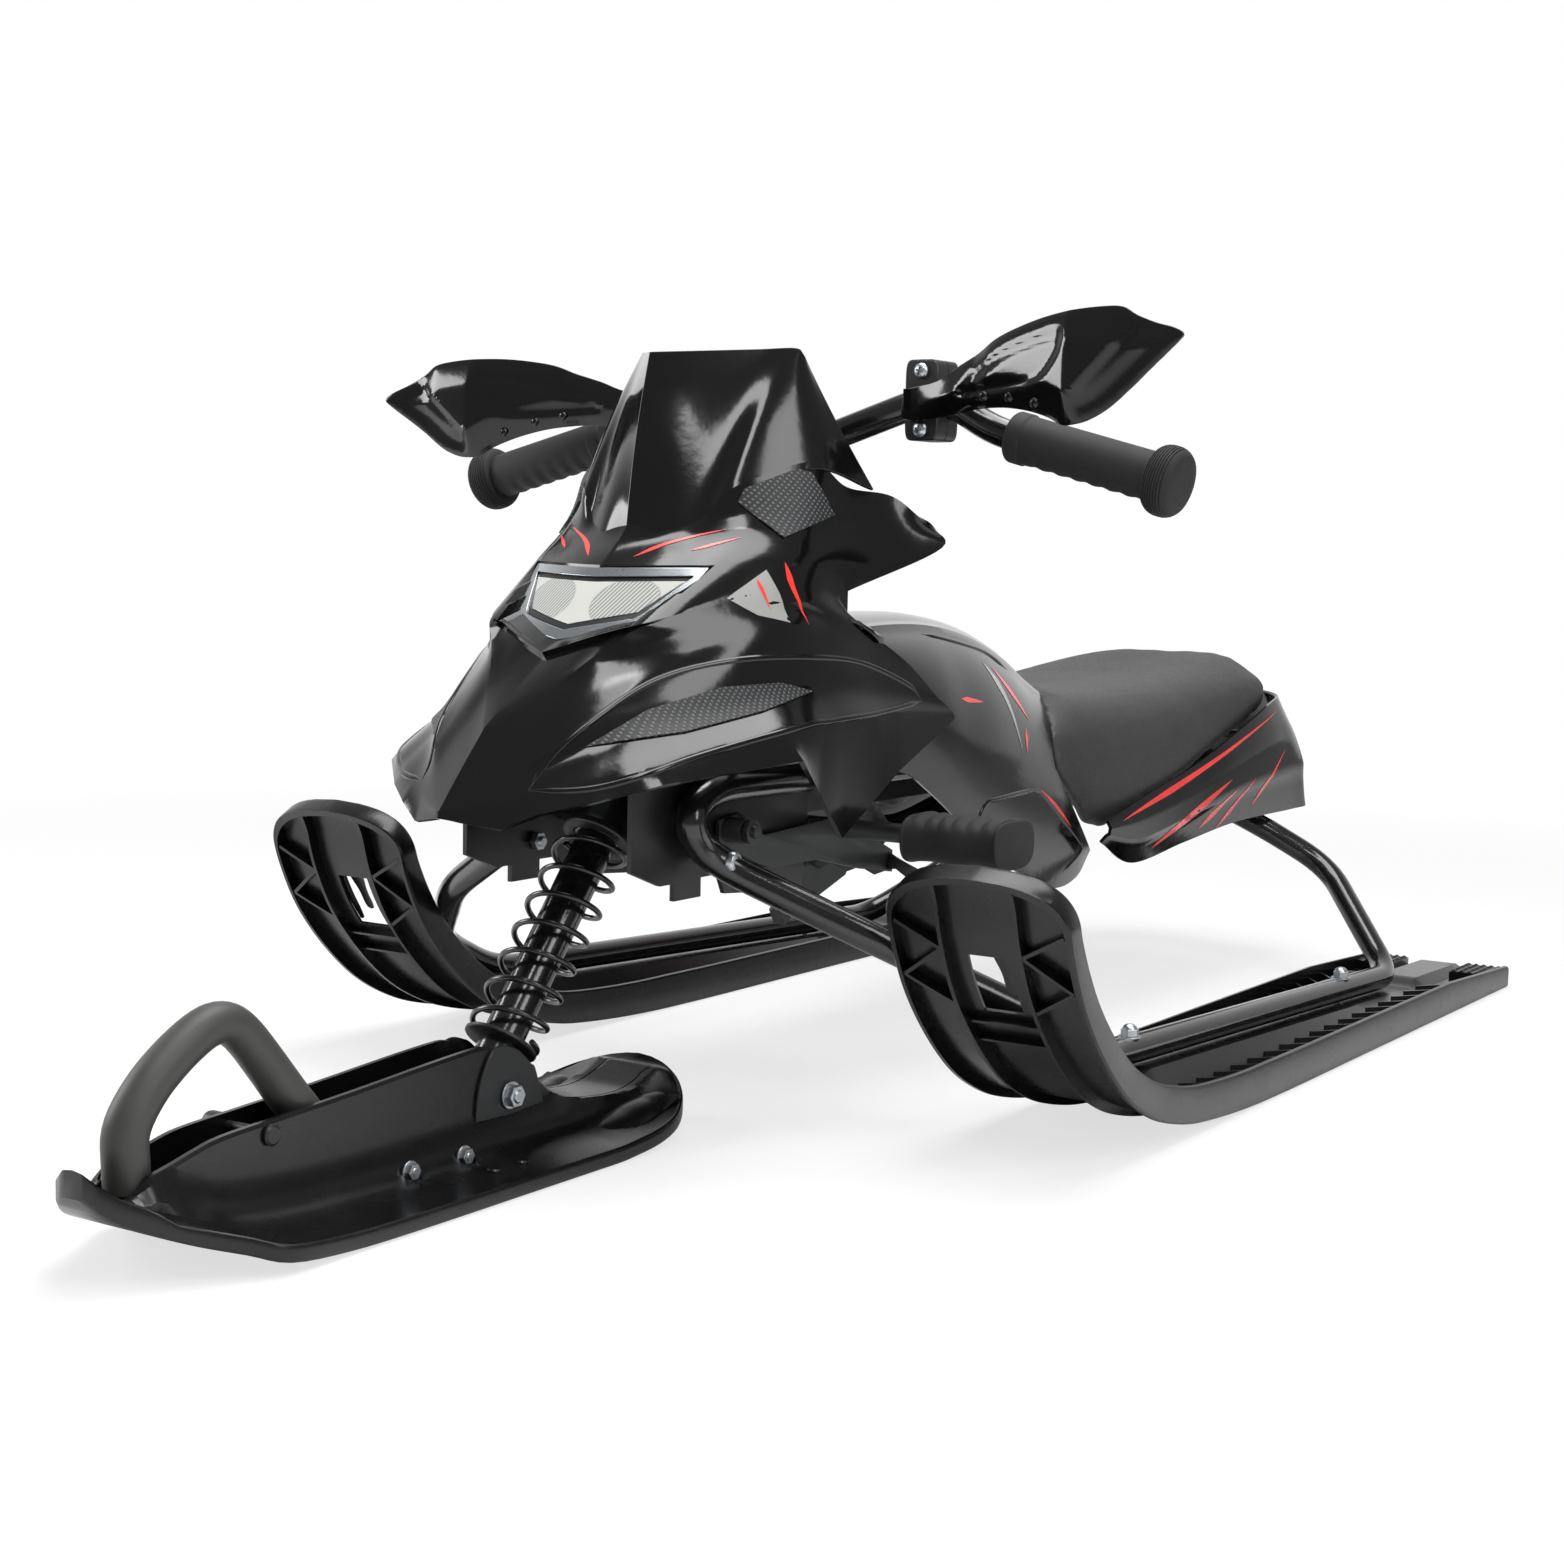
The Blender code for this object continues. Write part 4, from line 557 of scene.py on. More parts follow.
def slab(outline, low, high):
    """Prism between two places on X; the outline holds y and z."""
    return skin("slab", [np.insert(outline, 0, x, axis=1) for x in (low, high)], 30)


def bore(start, end, radius, base=PIVOT):
    """Round cutter along X."""
    return skin("bore", turned(rod(start, end, radius), base, X))


fine_rows = np.vstack((NOSE_ROWS[:1], NOSE_ROWS[:2].mean(0), eased(NOSE_ROWS[1:], 4)))
front_ski = skin("front_ski_shell", [nose_section(row) for row in fine_rows], 36)
channel = mm((-579, 100), (-579, 40), (-552, 29), (-525, 17.5), (-495, 12.5), (-262, 12.5), (-262, 100))
pockets = [mm((y0, z0), (y1, z0), (y1, z1), (y0, z1))
           for y0, y1, z0, z1 in ((-464, -447.5, 30, 42), (-413, -406, 38, 45))]
carved(front_ski, slab(channel, -CHANNEL, CHANNEL), bore(-0.1, 0.1, 0.0043),
       *[bore(k * 0.0234, k * 0.05, 0.0054, (0, y, z)) for y, z, _ in NOSE_BOLTS for k in (1, -1)],
       *[slab(pocket, -0.010, -0.030) for pocket in pockets])
parts = [front_ski]
u, v = patch(-1, 1, 25, 17)
hump_y = -0.227 + 0.03 * u
hump_z = 0.0102 + 0.0052 * np.clip(1 - u ** 2 - v ** 2, 0, 1) ** 0.7 + np.interp(hump_y, *NOSE_ROWS[:, :2].T)
for turn in (1, -1):
    parts += [skin("stud", turned(mm((9.5, 0), (9.5, 4.2), (11.8, 4.2), (12.6, 3.4), (12.6, 0)),
                                  (turn * 0.0435, y, 0), Z, 24)) for y in (-0.355, -0.333)]
    parts.append(skin("hump", np.stack((turn * (0.0345 + 0.015 * v), hump_y, hump_z), -1), around=False))
front_ski = softened(joined("front_ski_shell", parts), 0.0006)
fitted(front_ski, runner_plastic, "nose_ski", "ski_plastic", "front_ski")


# Side plates. Two rounded plates of 2.2 mm on the outside of the channel walls stiffen
# them round the pivot bolt.
PLATE_LINE = mm(
    (-340.4, 30), (-340.2, 37.1), (-337.4, 50.7), (-330.2, 64), (-324.5, 67.8), (-318.2, 68.4),
    (-311.5, 66.5), (-305.1, 63.5), (-294.7, 54.5), (-291.1, 51), (-284, 31))
outline, centre = np.vstack((eased(PLATE_LINE, 5), mm((-312, 29.2)))), mm(-312, 48)
for side, label in SIDES:
    grid = [np.insert(centre + (outline - centre) * grow, 0, side * (WALL_X + out), axis=1)
            for out, grow in ((0.0003, 1), (0.0016, 1), (0.0022, 0.975))]
    plate = carved(skin(f"plate_{label}", grid, 30), bore(-0.1, 0.1, 0.0043))
    fitted(plate, column_plastic, "nose_ski", "ski_plastic", f"ski_plate_{label}")


# Pivot bolt and the two bolts low in the walls: M8 and M5, zinc plated, each with its
# washers, a hexagon nut on one side and a button head on the other.
def cross_bolt(name, y, z, reach, shank_r, head_r, flats, node):
    """Bolt along X: button head at -reach, washer and hexagon nut at reach."""
    head = np.array(((0, 0), (0, 1), (0.22, 0.98), (0.55, 0.62), (0.6, 0.38), (0.3, 0.34), (0.3, 0))) * head_r
    tip = ((0, 0), (0, shank_r), (flats * 0.50, shank_r), (flats * 0.62, shank_r * 0.8), (flats * 0.62, 0))
    washer = ((0, 0), (0, flats * 0.68), (0.0008, flats * 0.72), (0.0012, flats * 0.68), (0.0012, 0))
    nut = ((0.001, flats * 0.577), (0.001 + flats * 0.42, flats * 0.577))
    parts = [skin("head", turned(head, (-reach, y, z), (-1, 0, 0))),
             skin("nut", turned(nut, (reach, y, z), X, 6), 25),
             skin("tip", turned(tip, (reach, y, z), X)), skin("washer", turned(washer, (reach, y, z), X)),
             skin("shank", turned(rod(-reach, reach, shank_r), (0, y, z), X))]
    fitted(softened(joined(name, parts), 0.0003, 40), zinc_steel, "nose_ski", "zinc_steel", node)


cross_bolt("pivot_screw", *PIVOT[1:], WALL_X + 0.0025, 0.0040, 0.0066, 0.0110, "pivot_bolt")
for y, z, place in NOSE_BOLTS:
    cross_bolt(f"nose_screw_{place}", y, z, 0.0235, 0.0025, 0.0046, 0.0078, f"ski_bolt_nose_{place}")


# Channel pin. A moulded pin with a round knob on the right side and a snap head on the
# left keeps the handle in the channel.
PIN = mm(
    (-26.2, 0), (-26.2, 4.6), (-25.4, 5.8), (-24, 6.2), (-17.7, 6.2), (-16.8, 5.4), (-16.8, 3), (16.8, 3),
    (16.8, 5.4), (18.2, 5.4), (19.2, 4), (19.2, 0))
pin = skin("retaining_pin", turned(PIN, (0, -0.490, 0.053), X), 30)
fitted(pin, column_plastic, "nose_ski", "black_plastic", "channel_pin")


# Pull handle. A loop of dark grey thermoplastic rubber, 22 mm thick, that stands in the
# channel and bends over to the front.
handle_rubber = coated("thermoplastic_rubber_dark_grey", "#393A37", 0.50, 0.06, 0.35, 0.0009)
HANDLE_PATH = mm(
    (0, -565, 39.5), (0, -565.5, 52), (0, -566.5, 68), (0, -553, 85.5), (0, -534, 99.5), (0, -515, 109),
    (0, -502, 108.5), (0, -491, 100), (0, -475, 81), (0, -462, 65), (0, -450, 51), (0, -437, 34),
    (0, -436.5, 13.3))
loop_path = rounded(HANDLE_PATH, 0.0105, 6)
loop_r = 0.0108 + 0.0004 * np.cos(np.linspace(0, 2 * pi, len(loop_path)))
loop = softened(skin("pull_loop", carried(ring(loop_r, 32), loop_path, X), 45), 0.0012, 50)
fitted(loop, handle_rubber, "nose_ski", "handle_rubber", "pull_handle")


# Front panel. One injection moulded ABS shell, 3 mm thick, gloss black: a folded lower edge
# with a pointed belly, a hollow flank above it, a V step under the headlight and a cowl on top.
FAIRING = mm(
    ((0, -352, 193.5), (30, -336.5, 188.5), (47, -327.5, 197), (70, -309, 203.5), (98, -281, 213.5),
     (128, -195, 222), (122.5, -144, 174), (124.5, -85, 208.5), (122, -15, 236)),
    ((0, -351.5, 197), (30, -331, 203), (47.5, -319, 207.5), (69, -303, 214), (92, -276, 223),
     (118, -200, 238.5), (122, -145, 242.5), (120.5, -85, 243), (121.5, -17, 239.5)),
    ((0, -348, 201), (27, -327, 211), (43, -311, 219), (60, -288, 231), (79, -257, 243),
     (101, -195, 256), (110, -145, 259), (114.5, -85, 253), (119.5, -22, 244)),
    ((0, -344, 206), (26, -323, 217), (40, -309, 228.5), (51, -290, 243), (65, -254, 262.5),
     (93, -200, 276), (105, -150, 276.5), (110, -90, 266), (118.5, -31, 249)),
    ((0, -332, 220), (20, -308, 237), (33, -286, 256.5), (49, -260, 271), (72, -222, 286),
     (97.5, -172, 296), (101.5, -125, 293.5), (105, -83, 283), (109.5, -56, 272)),
    ((0, -314.5, 239.7), (15.4, -293.6, 254.1), (24.8, -281, 264.1), (40.7, -261.1, 282.5),
     (57, -242.5, 295.5), (85, -187, 306), (98.5, -150, 308), (99.8, -114, 304), (101, -102, 296.5)),
    ((0, -266.1, 278.9), (13.2, -262.3, 283.2), (25.7, -257.8, 287.7), (41.4, -249.5, 293),
     (57.8, -240, 297.8), (83.5, -185, 312), (96, -150, 315.1), (98, -119.8, 311.9), (99, -106, 301)),
    ((0, -213, 327), (16.5, -211, 327.2), (33, -206.5, 327.6), (50, -199, 328), (66, -190, 328.5),
     (85, -162, 331), (93.5, -140, 331), (97, -115, 325), (98.5, -105, 314)),
    ((0, -198.5, 340), (16.8, -191.5, 341.7), (33, -183, 344.5), (50, -173, 348), (69, -156, 352),
     (85, -132, 354), (93, -105, 350), (107.2, -73.1, 341.2), (125, -42, 340)),
    ((0, -189, 351), (19.1, -183.6, 350.9), (37.9, -170.5, 355.9), (51.6, -164.4, 370), (65.6, -145.4, 380.2),
     (80.5, -115.6, 388.6), (90, -95, 374.7), (105, -68, 370), (120, -52, 354)))
BENDS = (0, 1, 3, 5, 6, 7, 8, 10)
FINE = 9


def both_sides(half):
    """Grid of both halves from the left one, which starts in the middle of the sled."""
    half = np.array(half)
    half[:, 0, 0] = 0
    return np.concatenate((half[:, :0:-1] * (-1, 1, 1), half), 1)


def outwards(grid, inside):
    """The grid with its rows turned round if its faces would look towards the inside point."""
    a, b = grid[1:, :-1] - grid[:-1, :-1], grid[:-1, 1:] - grid[:-1, :-1]
    facing = (np.cross(a, b) * (grid[:-1, :-1] - inside)).sum(-1)
    return grid if np.median(facing) < 0 else grid[::-1]


along = np.arange(8 * FINE + 1) / FINE
rows = [np.stack([np.interp(along, np.arange(9), c) for c in FAIRING[0].T], -1)]
rows += [eased(row, FINE) for row in FAIRING[1:]]
rows.insert(6, rows[6] + np.clip((0.062 - rows[6][:, :1]) / 0.02, 0, 1) * (0, 0.0020, -0.0026))
bands = []
for a, b in zip(BENDS, BENDS[1:]):
    stack = np.array(rows[a:b + 1])
    if len(stack) == 2:
        fine = stack[0] + (stack[1] - stack[0]) * np.linspace(0, 1, 5)[:, None, None]
    else:
        fine = eased(stack.reshape(len(stack), -1), 7).reshape(-1, 8 * FINE + 1, 3)
    bands.append(fine if not bands else fine[1:])
fairing_grid = both_sides(np.vstack(bands))


def light_face(x, z):
    """Depth of the headlight's curved front: a parabola across the width that leans back upwards."""
    return -0.217 + 5.2 * x * x + 0.966 * (z - 0.32)


def light_block(outline, front, back, grow=0.0, count=33):
    """Block through the panel behind the headlight's face, between two depths."""
    (_, top0), (wide, top1), (bend_x, bend_z), (_, base0) = outline
    x = np.linspace(-wide - grow, wide + grow, count)
    share = np.abs(x) / (wide + grow)
    top = top0 + (top1 - top0) * share + grow
    base = np.interp(share, (0, bend_x / wide, 1), (base0 - grow, bend_z - grow, top1 + grow))
    base = np.minimum(base, top - 0.001)
    corners = ((top, front), (top, back), (base, back), (base, front))
    return np.stack([np.stack((x, light_face(x, z) + d, z), -1) for z, d in corners], 1)


TRIM_EDGE = mm((0, 325.5), (66, 327), (44, 293.5), (0, 285.5))
LENS_EDGE = mm((0, 320.5), (56, 322), (40, 298.5), (0, 291))
x, y, z = fairing_grid[..., 0], fairing_grid[..., 1], fairing_grid[..., 2]
low_z = np.interp(np.abs(x), *TRIM_EDGE[:0:-1].T)
high_z = np.interp(np.abs(x), *TRIM_EDGE[:2].T)
in_light = (np.abs(x) < 0.064) & (z > low_z + 0.0012) & (z < high_z - 0.0008)
y[in_light] = np.maximum(y, light_face(x, z) + 0.0045)[in_light]
fairing = plate_of("fairing_shell", outwards(fairing_grid, (0, -0.05, 0.25)), 0.0028)


def covering(surface):
    """Search tree of an object's faces, to lay pieces on it."""
    mesh = surface.data
    return BVHTree.FromPolygons([v.co for v in mesh.vertices], [p.vertices for p in mesh.polygons])


ARCH = np.array((
    (-0.5, -1), (-0.5, 0), (-0.34, 0.7), (-0.12, 1), (0.12, 1), (0.34, 0.7), (0.5, 0), (0.5, -1)))


def bead(line, aim, tree, width, rise):
    """Low moulded ridge on a surface along a line: an arch of the width, its feet sunk in.

    The line is dropped on the surface along the aim.
    """
    aim = unit(aim)
    start = evenly(eased(line, 8), 0.003)[0] - DATUM - aim * 0.06
    found = [tree.ray_cast(Vector(p), Vector(aim), 0.2)[:2] for p in start]
    seat, normal = np.array([pair for pair in found if pair[0] is not None]).transpose(1, 0, 2)
    normal *= np.where(normal @ aim < 0, 1, -1)[:, None]
    for values in (normal, seat):
        values[1:-1] = (values[:-2] + values[1:-1] * 2 + values[2:]) / 4
    across = unit(np.cross(normal, np.gradient(seat, axis=0)))
    from_end = np.minimum(np.arange(len(seat)), np.arange(len(seat))[::-1])
    taper = np.clip(from_end / 4, 0.15, 1)[:, None, None]
    body = across[:, None] * ARCH[:, :1] * width * taper + normal[:, None] * ARCH[:, 1:] * rise * taper
    return skin("bead", seat[:, None] + DATUM + body, 50)


RECESS_OVER = mm(
    (35.9, -321.8, 209), (44.1, -304.6, 230.8), (51.5, -279.7, 248.6), (59.1, -244.3, 265.4),
    (85, -213.5, 275.4), (103, -173.5, 277.7), (105.1, -106.3, 272.8), (112, -59.8, 258.3),
    (116.8, -48.5, 248.4))
RECESS_UNDER = mm(
    (35.9, -321.8, 208.5), (69.6, -302.3, 211.5), (104, -258.1, 227.4), (119.7, -182.4, 240.2),
    (113.9, -104.8, 242.7), (116.8, -48.5, 247.8))
fairing_tree = covering(fairing)
ridges = [bead(line * (side, 1, 1), (-side, 0.5, -0.15), fairing_tree, 0.0036, 0.001)
          for side, _ in SIDES for line in (RECESS_OVER, RECESS_UNDER)]
gloss_abs = coated("injection_moulded_ABS_gloss_black", "#060607", 0.12, 0.02, 0.04, 0.006)
fairing = softened(joined("fairing_shell", [fairing, *ridges]), 0.0005, 30)
fitted(fairing, gloss_abs, "chassis", "gloss_panel", "front_panel")


# Headlight. A bright moulded trim set in the panel round a dummy lens of pale plastic with
# a hatch of fine slanted ridges in two oval fields, each ringed by a darker line.
def light_frame(name, outer, hole):
    """Block of the headlight with a pocket in it."""
    return carved(skin(name, light_block(*outer)), skin("pocket", light_block(*hole)))


silver_trim = coated("vacuum_metallised_ABS", "#A9AEB1", 0.20, 0.05, 0.06, 0.001, metallic=0.9, coat=0.4)
trim = light_frame("headlight_surround", (TRIM_EDGE, -0.003, 0.016), (LENS_EDGE, -0.03, 0.010))
fitted(softened(trim, 0.0009, 35, 3), silver_trim, "chassis", "bright_trim", "headlight_trim")
gasket = light_frame("lens_gasket", (LENS_EDGE, -0.001, 0.009, -0.0002), (LENS_EDGE, -0.03, 0.02, -0.0026))
fitted(gasket, column_plastic, "chassis")
nodes, place = new_finish("pale_moulded_polystyrene_lens")
spread = nodes.add("SeparateXYZ", Vector=place)
slanted = nodes.maths("MULTIPLY_ADD", spread.outputs["Z"], -0.50, spread.outputs["X"])
wave = nodes.maths("SINE", nodes.maths("MULTIPLY", slanted, 2 * pi / 0.0024))
oval_x = nodes.ranged(nodes.maths("ABSOLUTE", spread.outputs["X"]), (0.0265, 0.0460), clamp=False)
oval_z = nodes.ranged(spread.outputs["Z"], (0.3070, 0.3200), clamp=False)
far = nodes.maths("LENGTH", nodes.add("CombineXYZ", X=oval_x, Y=oval_z), kind="VectorMath").outputs["Value"]
within = nodes.ranged(far, (0.96, 1.02), (1, 0))
rim_line = nodes.maths("MULTIPLY", nodes.ranged(far, (0.94, 1)), within)
hatch = nodes.maths("MULTIPLY", nodes.ranged(wave, (-0.7, 0.6)), within)
shade = nodes.mix(nodes.maths("MAXIMUM", hatch, rim_line), "#C4C5C0", "#878A88")
lens_finish = nodes.ended(Base_Color=shade, Roughness=0.20, IOR=1.5, Normal=nodes.bump(hatch, 0.25, 0.0003))
lens = skin("headlight_glass", light_block(LENS_EDGE, -0.0016, 0.0094, -0.0029, 65))
fitted(softened(lens, 0.0006, 35), lens_finish, "chassis", "lens_clear", "headlight_lens")


# Mesh inlays and side windows. Thin moulded plates on the panel, matt dark grey with a
# regular lattice of small light studs.
def outline_depth(p, outline):
    """Distance of the points from the outline, positive inside it."""
    a, b = outline, np.roll(outline, -1, 0)
    t = np.clip(((p[:, None] - a) * (b - a)).sum(-1) / ((b - a) ** 2).sum(-1), 0, 1)
    far = np.linalg.norm(a + (b - a) * t[..., None] - p[:, None], axis=-1).min(1)
    over = (a[:, 1] > p[:, 1:]) != (b[:, 1] > p[:, 1:])
    run = np.where(b[:, 1] == a[:, 1], 1e-12, b[:, 1] - a[:, 1])
    at = a[:, 0] + (p[:, 1:] - a[:, 1]) / run * (b - a)[:, 0]
    return np.where((over & (at > p[:, :1])).sum(1) % 2 == 1, far, -far)


def filled(outline, step):
    """Points and triangles that fill a flat outline at about the step."""
    ahead = np.roll(outline, -1, 0) - outline
    count = np.maximum((np.linalg.norm(ahead, axis=1) / step).astype(int), 1)
    rim = np.vstack([outline[k] + ahead[k] * np.linspace(0, 1, n, endpoint=False)[:, None]
                     for k, n in enumerate(count)])
    ranges = [np.arange(*ends, step) for ends in zip(outline.min(0), outline.max(0))]
    grid = np.stack(np.meshgrid(*ranges), -1).reshape(-1, 2)
    grid = grid[outline_depth(grid, rim) > step * 0.5]
    edges = [(k, (k + 1) % len(rim)) for k in range(len(rim))]
    corners = [Vector(p) for p in np.vstack((rim, grid)).tolist()]
    points, _, faces = delaunay_2d_cdt(corners, edges, [], 1, 1e-7)[:3]
    return np.array([tuple(p) for p in points]), faces


def sheet(name, points, faces, aim, thick, edges=40):
    """Plate of the thickness behind the faces, which are turned to look against the aim."""
    mesh = bpy.data.meshes.new(name)
    mesh.from_pydata(points, [], faces)
    work = bmesh.new()
    work.from_mesh(mesh)
    for face in work.faces:
        face.normal_update()
        if face.normal.dot(Vector(aim)) > 0:
            face.normal_flip()
    work.to_mesh(mesh)
    work.free()
    return walled(stand(name, mesh), thick, edges)


def draped(name, outline, aim, tree, lift, thick, step=0.004):
    """Thin plate on a surface: the outline's points are filled, then each is dropped on it along the aim.

    The plate's face lies at lift over the surface, along its normal there, and it is thick
    deep, so that it has an edge of its own.
    """
    aim = unit(aim)
    first = unit(np.cross(aim, Z))
    other = np.cross(first, aim)
    points, faces = filled(np.stack((outline @ first, outline @ other), -1), step)
    middle = outline.mean(0) @ aim
    top = []
    for across, along in points:
        level = first * across + other * along + aim * middle - DATUM
        hit, normal, _, _ = tree.ray_cast(Vector(level - aim * 0.25), Vector(aim), 0.6)
        if hit is None:
            hit, normal, _, _ = tree.find_nearest(Vector(level))
        top.append(hit + normal * (lift if normal.dot(Vector(aim)) < 0 else -lift))
    return sheet(name, top, faces, aim, thick)


nodes, place = new_finish("moulded_mesh_with_light_studs")
flat_place = nodes.add("Mapping", Vector=place, Rotation=(radians(45), 0, 0), Scale=(0, 1, 1))
cells = nodes.add("TexVoronoi", Vector=flat_place, Scale=400, Randomness=0)
stud = nodes.ranged(cells.outputs["Distance"], (0.20, 0.32), (1, 0))
mesh_finish = nodes.ended(Base_Color=nodes.mix(stud, "#151618", "#5C5E60"), Roughness=0.5,
                          Normal=nodes.bump(stud, 0.6, 0.0005))
SIDE_POD = mm(
    (62.5, -299, 233), (70, -262, 250), (85, -217, 261), (98, -179, 262.5), (106, -157, 257),
    (101, -200, 247.5), (85, -250, 238))
SCREEN_POD = mm(
    (56, -160, 364), (58, -156, 372), (74, -127, 384), (79, -119, 382), (90, -109, 358), (80, -148, 344))
for side, label in SIDES:
    for name, pod, y, z, node in (("flank_mesh", SIDE_POD, 0.45, -0.2, "side_mesh"),
                                  ("window_mesh", SCREEN_POD, 0.6, -0.1, "screen_mesh")):
        plate = draped(f"{name}_{label}", pod * (side, 1, 1), (-side, y, z), fairing_tree, 0.0012, 0.002)
        fitted(plate, mesh_finish, "chassis", "mesh_insert", f"{node}_{label}")


# Windscreen. A plate of gloss black acrylic, 2.5 mm thick, folded down its middle, with two
# swept wings and a small spike on each upper corner.
SCREEN_LOW = mm(
    (0, -189, 353.4), (20, -183, 355.4), (40, -168, 362.4), (55, -156, 379), (80, -115, 391),
    (95, -79, 380.4))
SCREEN_HIGH = mm(
    (0, -170, 450.4), (22, -143.2, 452.6), (42, -119, 454.6), (56, -102, 456.2), (59.5, -98, 453),
    (60.5, -94, 447))
low, high = eased(SCREEN_LOW, 8), eased(SCREEN_HIGH, 8)
low = low + (low - high) * (0.09, 0.09, 0.10)
t = np.linspace(0, 1, 15)[:, None, None]
screen_grid = both_sides(low + (high - low) * t + 0.0025 * np.sin(pi * t) * (0, -1, 0.3))
screen = plate_of("wind_deflector", outwards(screen_grid, (0, -0.02, 0.38)), 0.0024, 50)
fitted(softened(screen, 0.0008, 30, 3), gloss_abs, "chassis", "gloss_panel", "windscreen")


# Red streaks. Thin printed film in tapering slashes on the cowl and flanks, with a pale
# grey wedge beside them; a plain layout of the same scale and colour as such sleds carry.
def streak(line, width, aim, tree):
    """Film on a surface: a band along the line, widest near its first third and pointed at both ends."""
    straight = line[0] + (line[-1] - line[0]) * np.linspace(0, 1, 17)[:, None]
    curve = eased(line, 8) if len(line) > 2 else straight
    across = unit(np.cross(np.gradient(curve, axis=0), unit(aim)))
    t = np.linspace(0, 1, len(curve))
    across *= (width / 2 * np.clip(np.minimum(t / 0.30, (1 - t) / 0.70), 0.02, 1) ** 0.75)[:, None]
    outline = np.vstack((curve + across, (curve - across)[::-1]))
    return draped("streak", outline, aim, tree, lift=0.00027, thick=0.00012, step=0.0035)


def streaks(name, finish, tree, side, *slashes):
    """One piece of film with several slashes: each is its aim on the left side, its width and its points."""
    turn = (side, 1, 1)
    parts = [streak(mm(*line) * turn, width / 1000, np.multiply(aim, turn), tree)
             for aim, width, *line in slashes]
    fitted(joined(name, parts), finish, "chassis")


red_film = coated("printed_film_red", "#DE352D", 0.24, 0.04, 0.05, 0.001, coat=0.4)
grey_film = coated("printed_film_pale_grey", "#8E8F8C", 0.26, 0.04, 0.05, 0.001, coat=0.4)
WEDGE = mm((72, -196, 309), (83, -169, 326), (90, -166, 312), (96, -165, 296), (86, -183, 300))
FRONT_AIM, FLANK_AIM, SIDE_AIM = (-0.35, 0.75, -0.55), (-1, 0.5, -0.25), (-1, 0, 0)
for side, label in SIDES:
    streaks(f"red_streaks_front_{label}", red_film, fairing_tree, side,
            (FRONT_AIM, 3, (15, -202, 330), (30, -189, 340), (56, -170, 349)),
            (FRONT_AIM, 2.2, (44, -187, 334), (64, -166, 342)),
            (FLANK_AIM, 4.2, (86, -156, 330), (92.5, -156, 315), (99, -150, 295)),
            (FLANK_AIM, 2.6, (78, -175, 320), (88, -174, 303)))
    wedge = draped(f"grey_wedge_front_{label}", WEDGE * (side, 1, 1), np.multiply(FLANK_AIM, (side, 1, 1)),
                   fairing_tree, 0.00012, 0.0001, 0.0035)
    fitted(wedge, grey_film, "chassis")


# Body shell. A gloss black ABS cowl like a small fuel tank between the front panel and the
# seat, with a creased shoulder and a flat side behind the pedals that has a moulded rim.
BODY_FROM, BODY_TO = -0.095, 0.295
BODY_ROWS = (
    (0, 0.28, 0.203, 0.09), (0.12, 0.288, 0.203, 0.097), (0.25, 0.2935, 0.2, 0.1),
    (0.4, 0.296, 0.176, 0.101), (0.53, 0.295, 0.143, 0.1), (0.68, 0.287, 0.119, 0.098),
    (0.82, 0.272, 0.105, 0.094), (0.93, 0.254, 0.108, 0.09), (1, 0.243, 0.124, 0.086))
TANK_CREASE = mm((64, 40, 283), (63, 90, 276), (58.7, 136.3, 267.5), (60, 165, 256))
FOOT_RIM = mm(
    (100, 56, 156), (100, 67.4, 173.5), (100, 90, 176.2), (100, 148, 176.8), (100, 164, 171.5),
    (100, 197.3, 152), (100, 233, 132), (100, 229, 124.5), (100, 199.5, 114.9))


def body_end(x, z):
    """Rear edge of the body shell: an arrow in plan that runs back below the seat."""
    return BODY_TO - 1.2 * np.abs(x) + np.clip((0.190 - z) * 0.95, 0, 0.062)


share, top, base, half = eased(BODY_ROWS, 8).T[..., None]
a, down = np.linspace(0, pi / 2, 29), np.linspace(0, 1, 10)[1:]
middle = base + (top - base) * 0.30
x = half * np.hstack((np.sin(a) ** 0.80, 1 - 0.035 * down ** 1.5))
z = np.hstack((middle + (top - middle) * np.cos(a) ** 0.72, middle + (base - middle) * down))
shoulder = 0.0022 * np.exp(-((x / half - 0.55) / 0.05) ** 2) * (z > middle)
y = BODY_FROM + share * (body_end(x, z) - BODY_FROM)
body_grid = both_sides(np.stack((x, y, z + shoulder), -1))
body = plate_of("body_cowl", outwards(body_grid, (0, 0.10, 0.15)), 0.0026)
body_tree = covering(body)
rims = [bead(line * (side, 1, 1), (-side, 0, drop), body_tree, 0.0034, 0.0011)
        for side, _ in SIDES for line, drop in ((TANK_CREASE, -0.9), (FOOT_RIM, 0))]
body = softened(joined("body_cowl", [body, *rims]), 0.0005, 30)
fitted(body, gloss_abs, "chassis", "gloss_panel", "body_panel")
for side, label in SIDES:
    streaks(f"red_streaks_body_{label}", red_film, body_tree, side,
            (SIDE_AIM, 3.6, (100, 40, 244), (100, 76, 240)),
            (SIDE_AIM, 5.2, (100, 122, 260), (100, 148, 236), (100, 160, 223)),
            (SIDE_AIM, 5, (100, 148, 218), (100, 142, 202)),
            (SIDE_AIM, 4.6, (100, 160, 176), (100, 196, 156), (100, 228, 134)))
    streaks(f"grey_blade_body_{label}", grey_film, body_tree, side,
            (SIDE_AIM, 8, (100, 108, 264), (100, 123, 240), (100, 133, 206)))


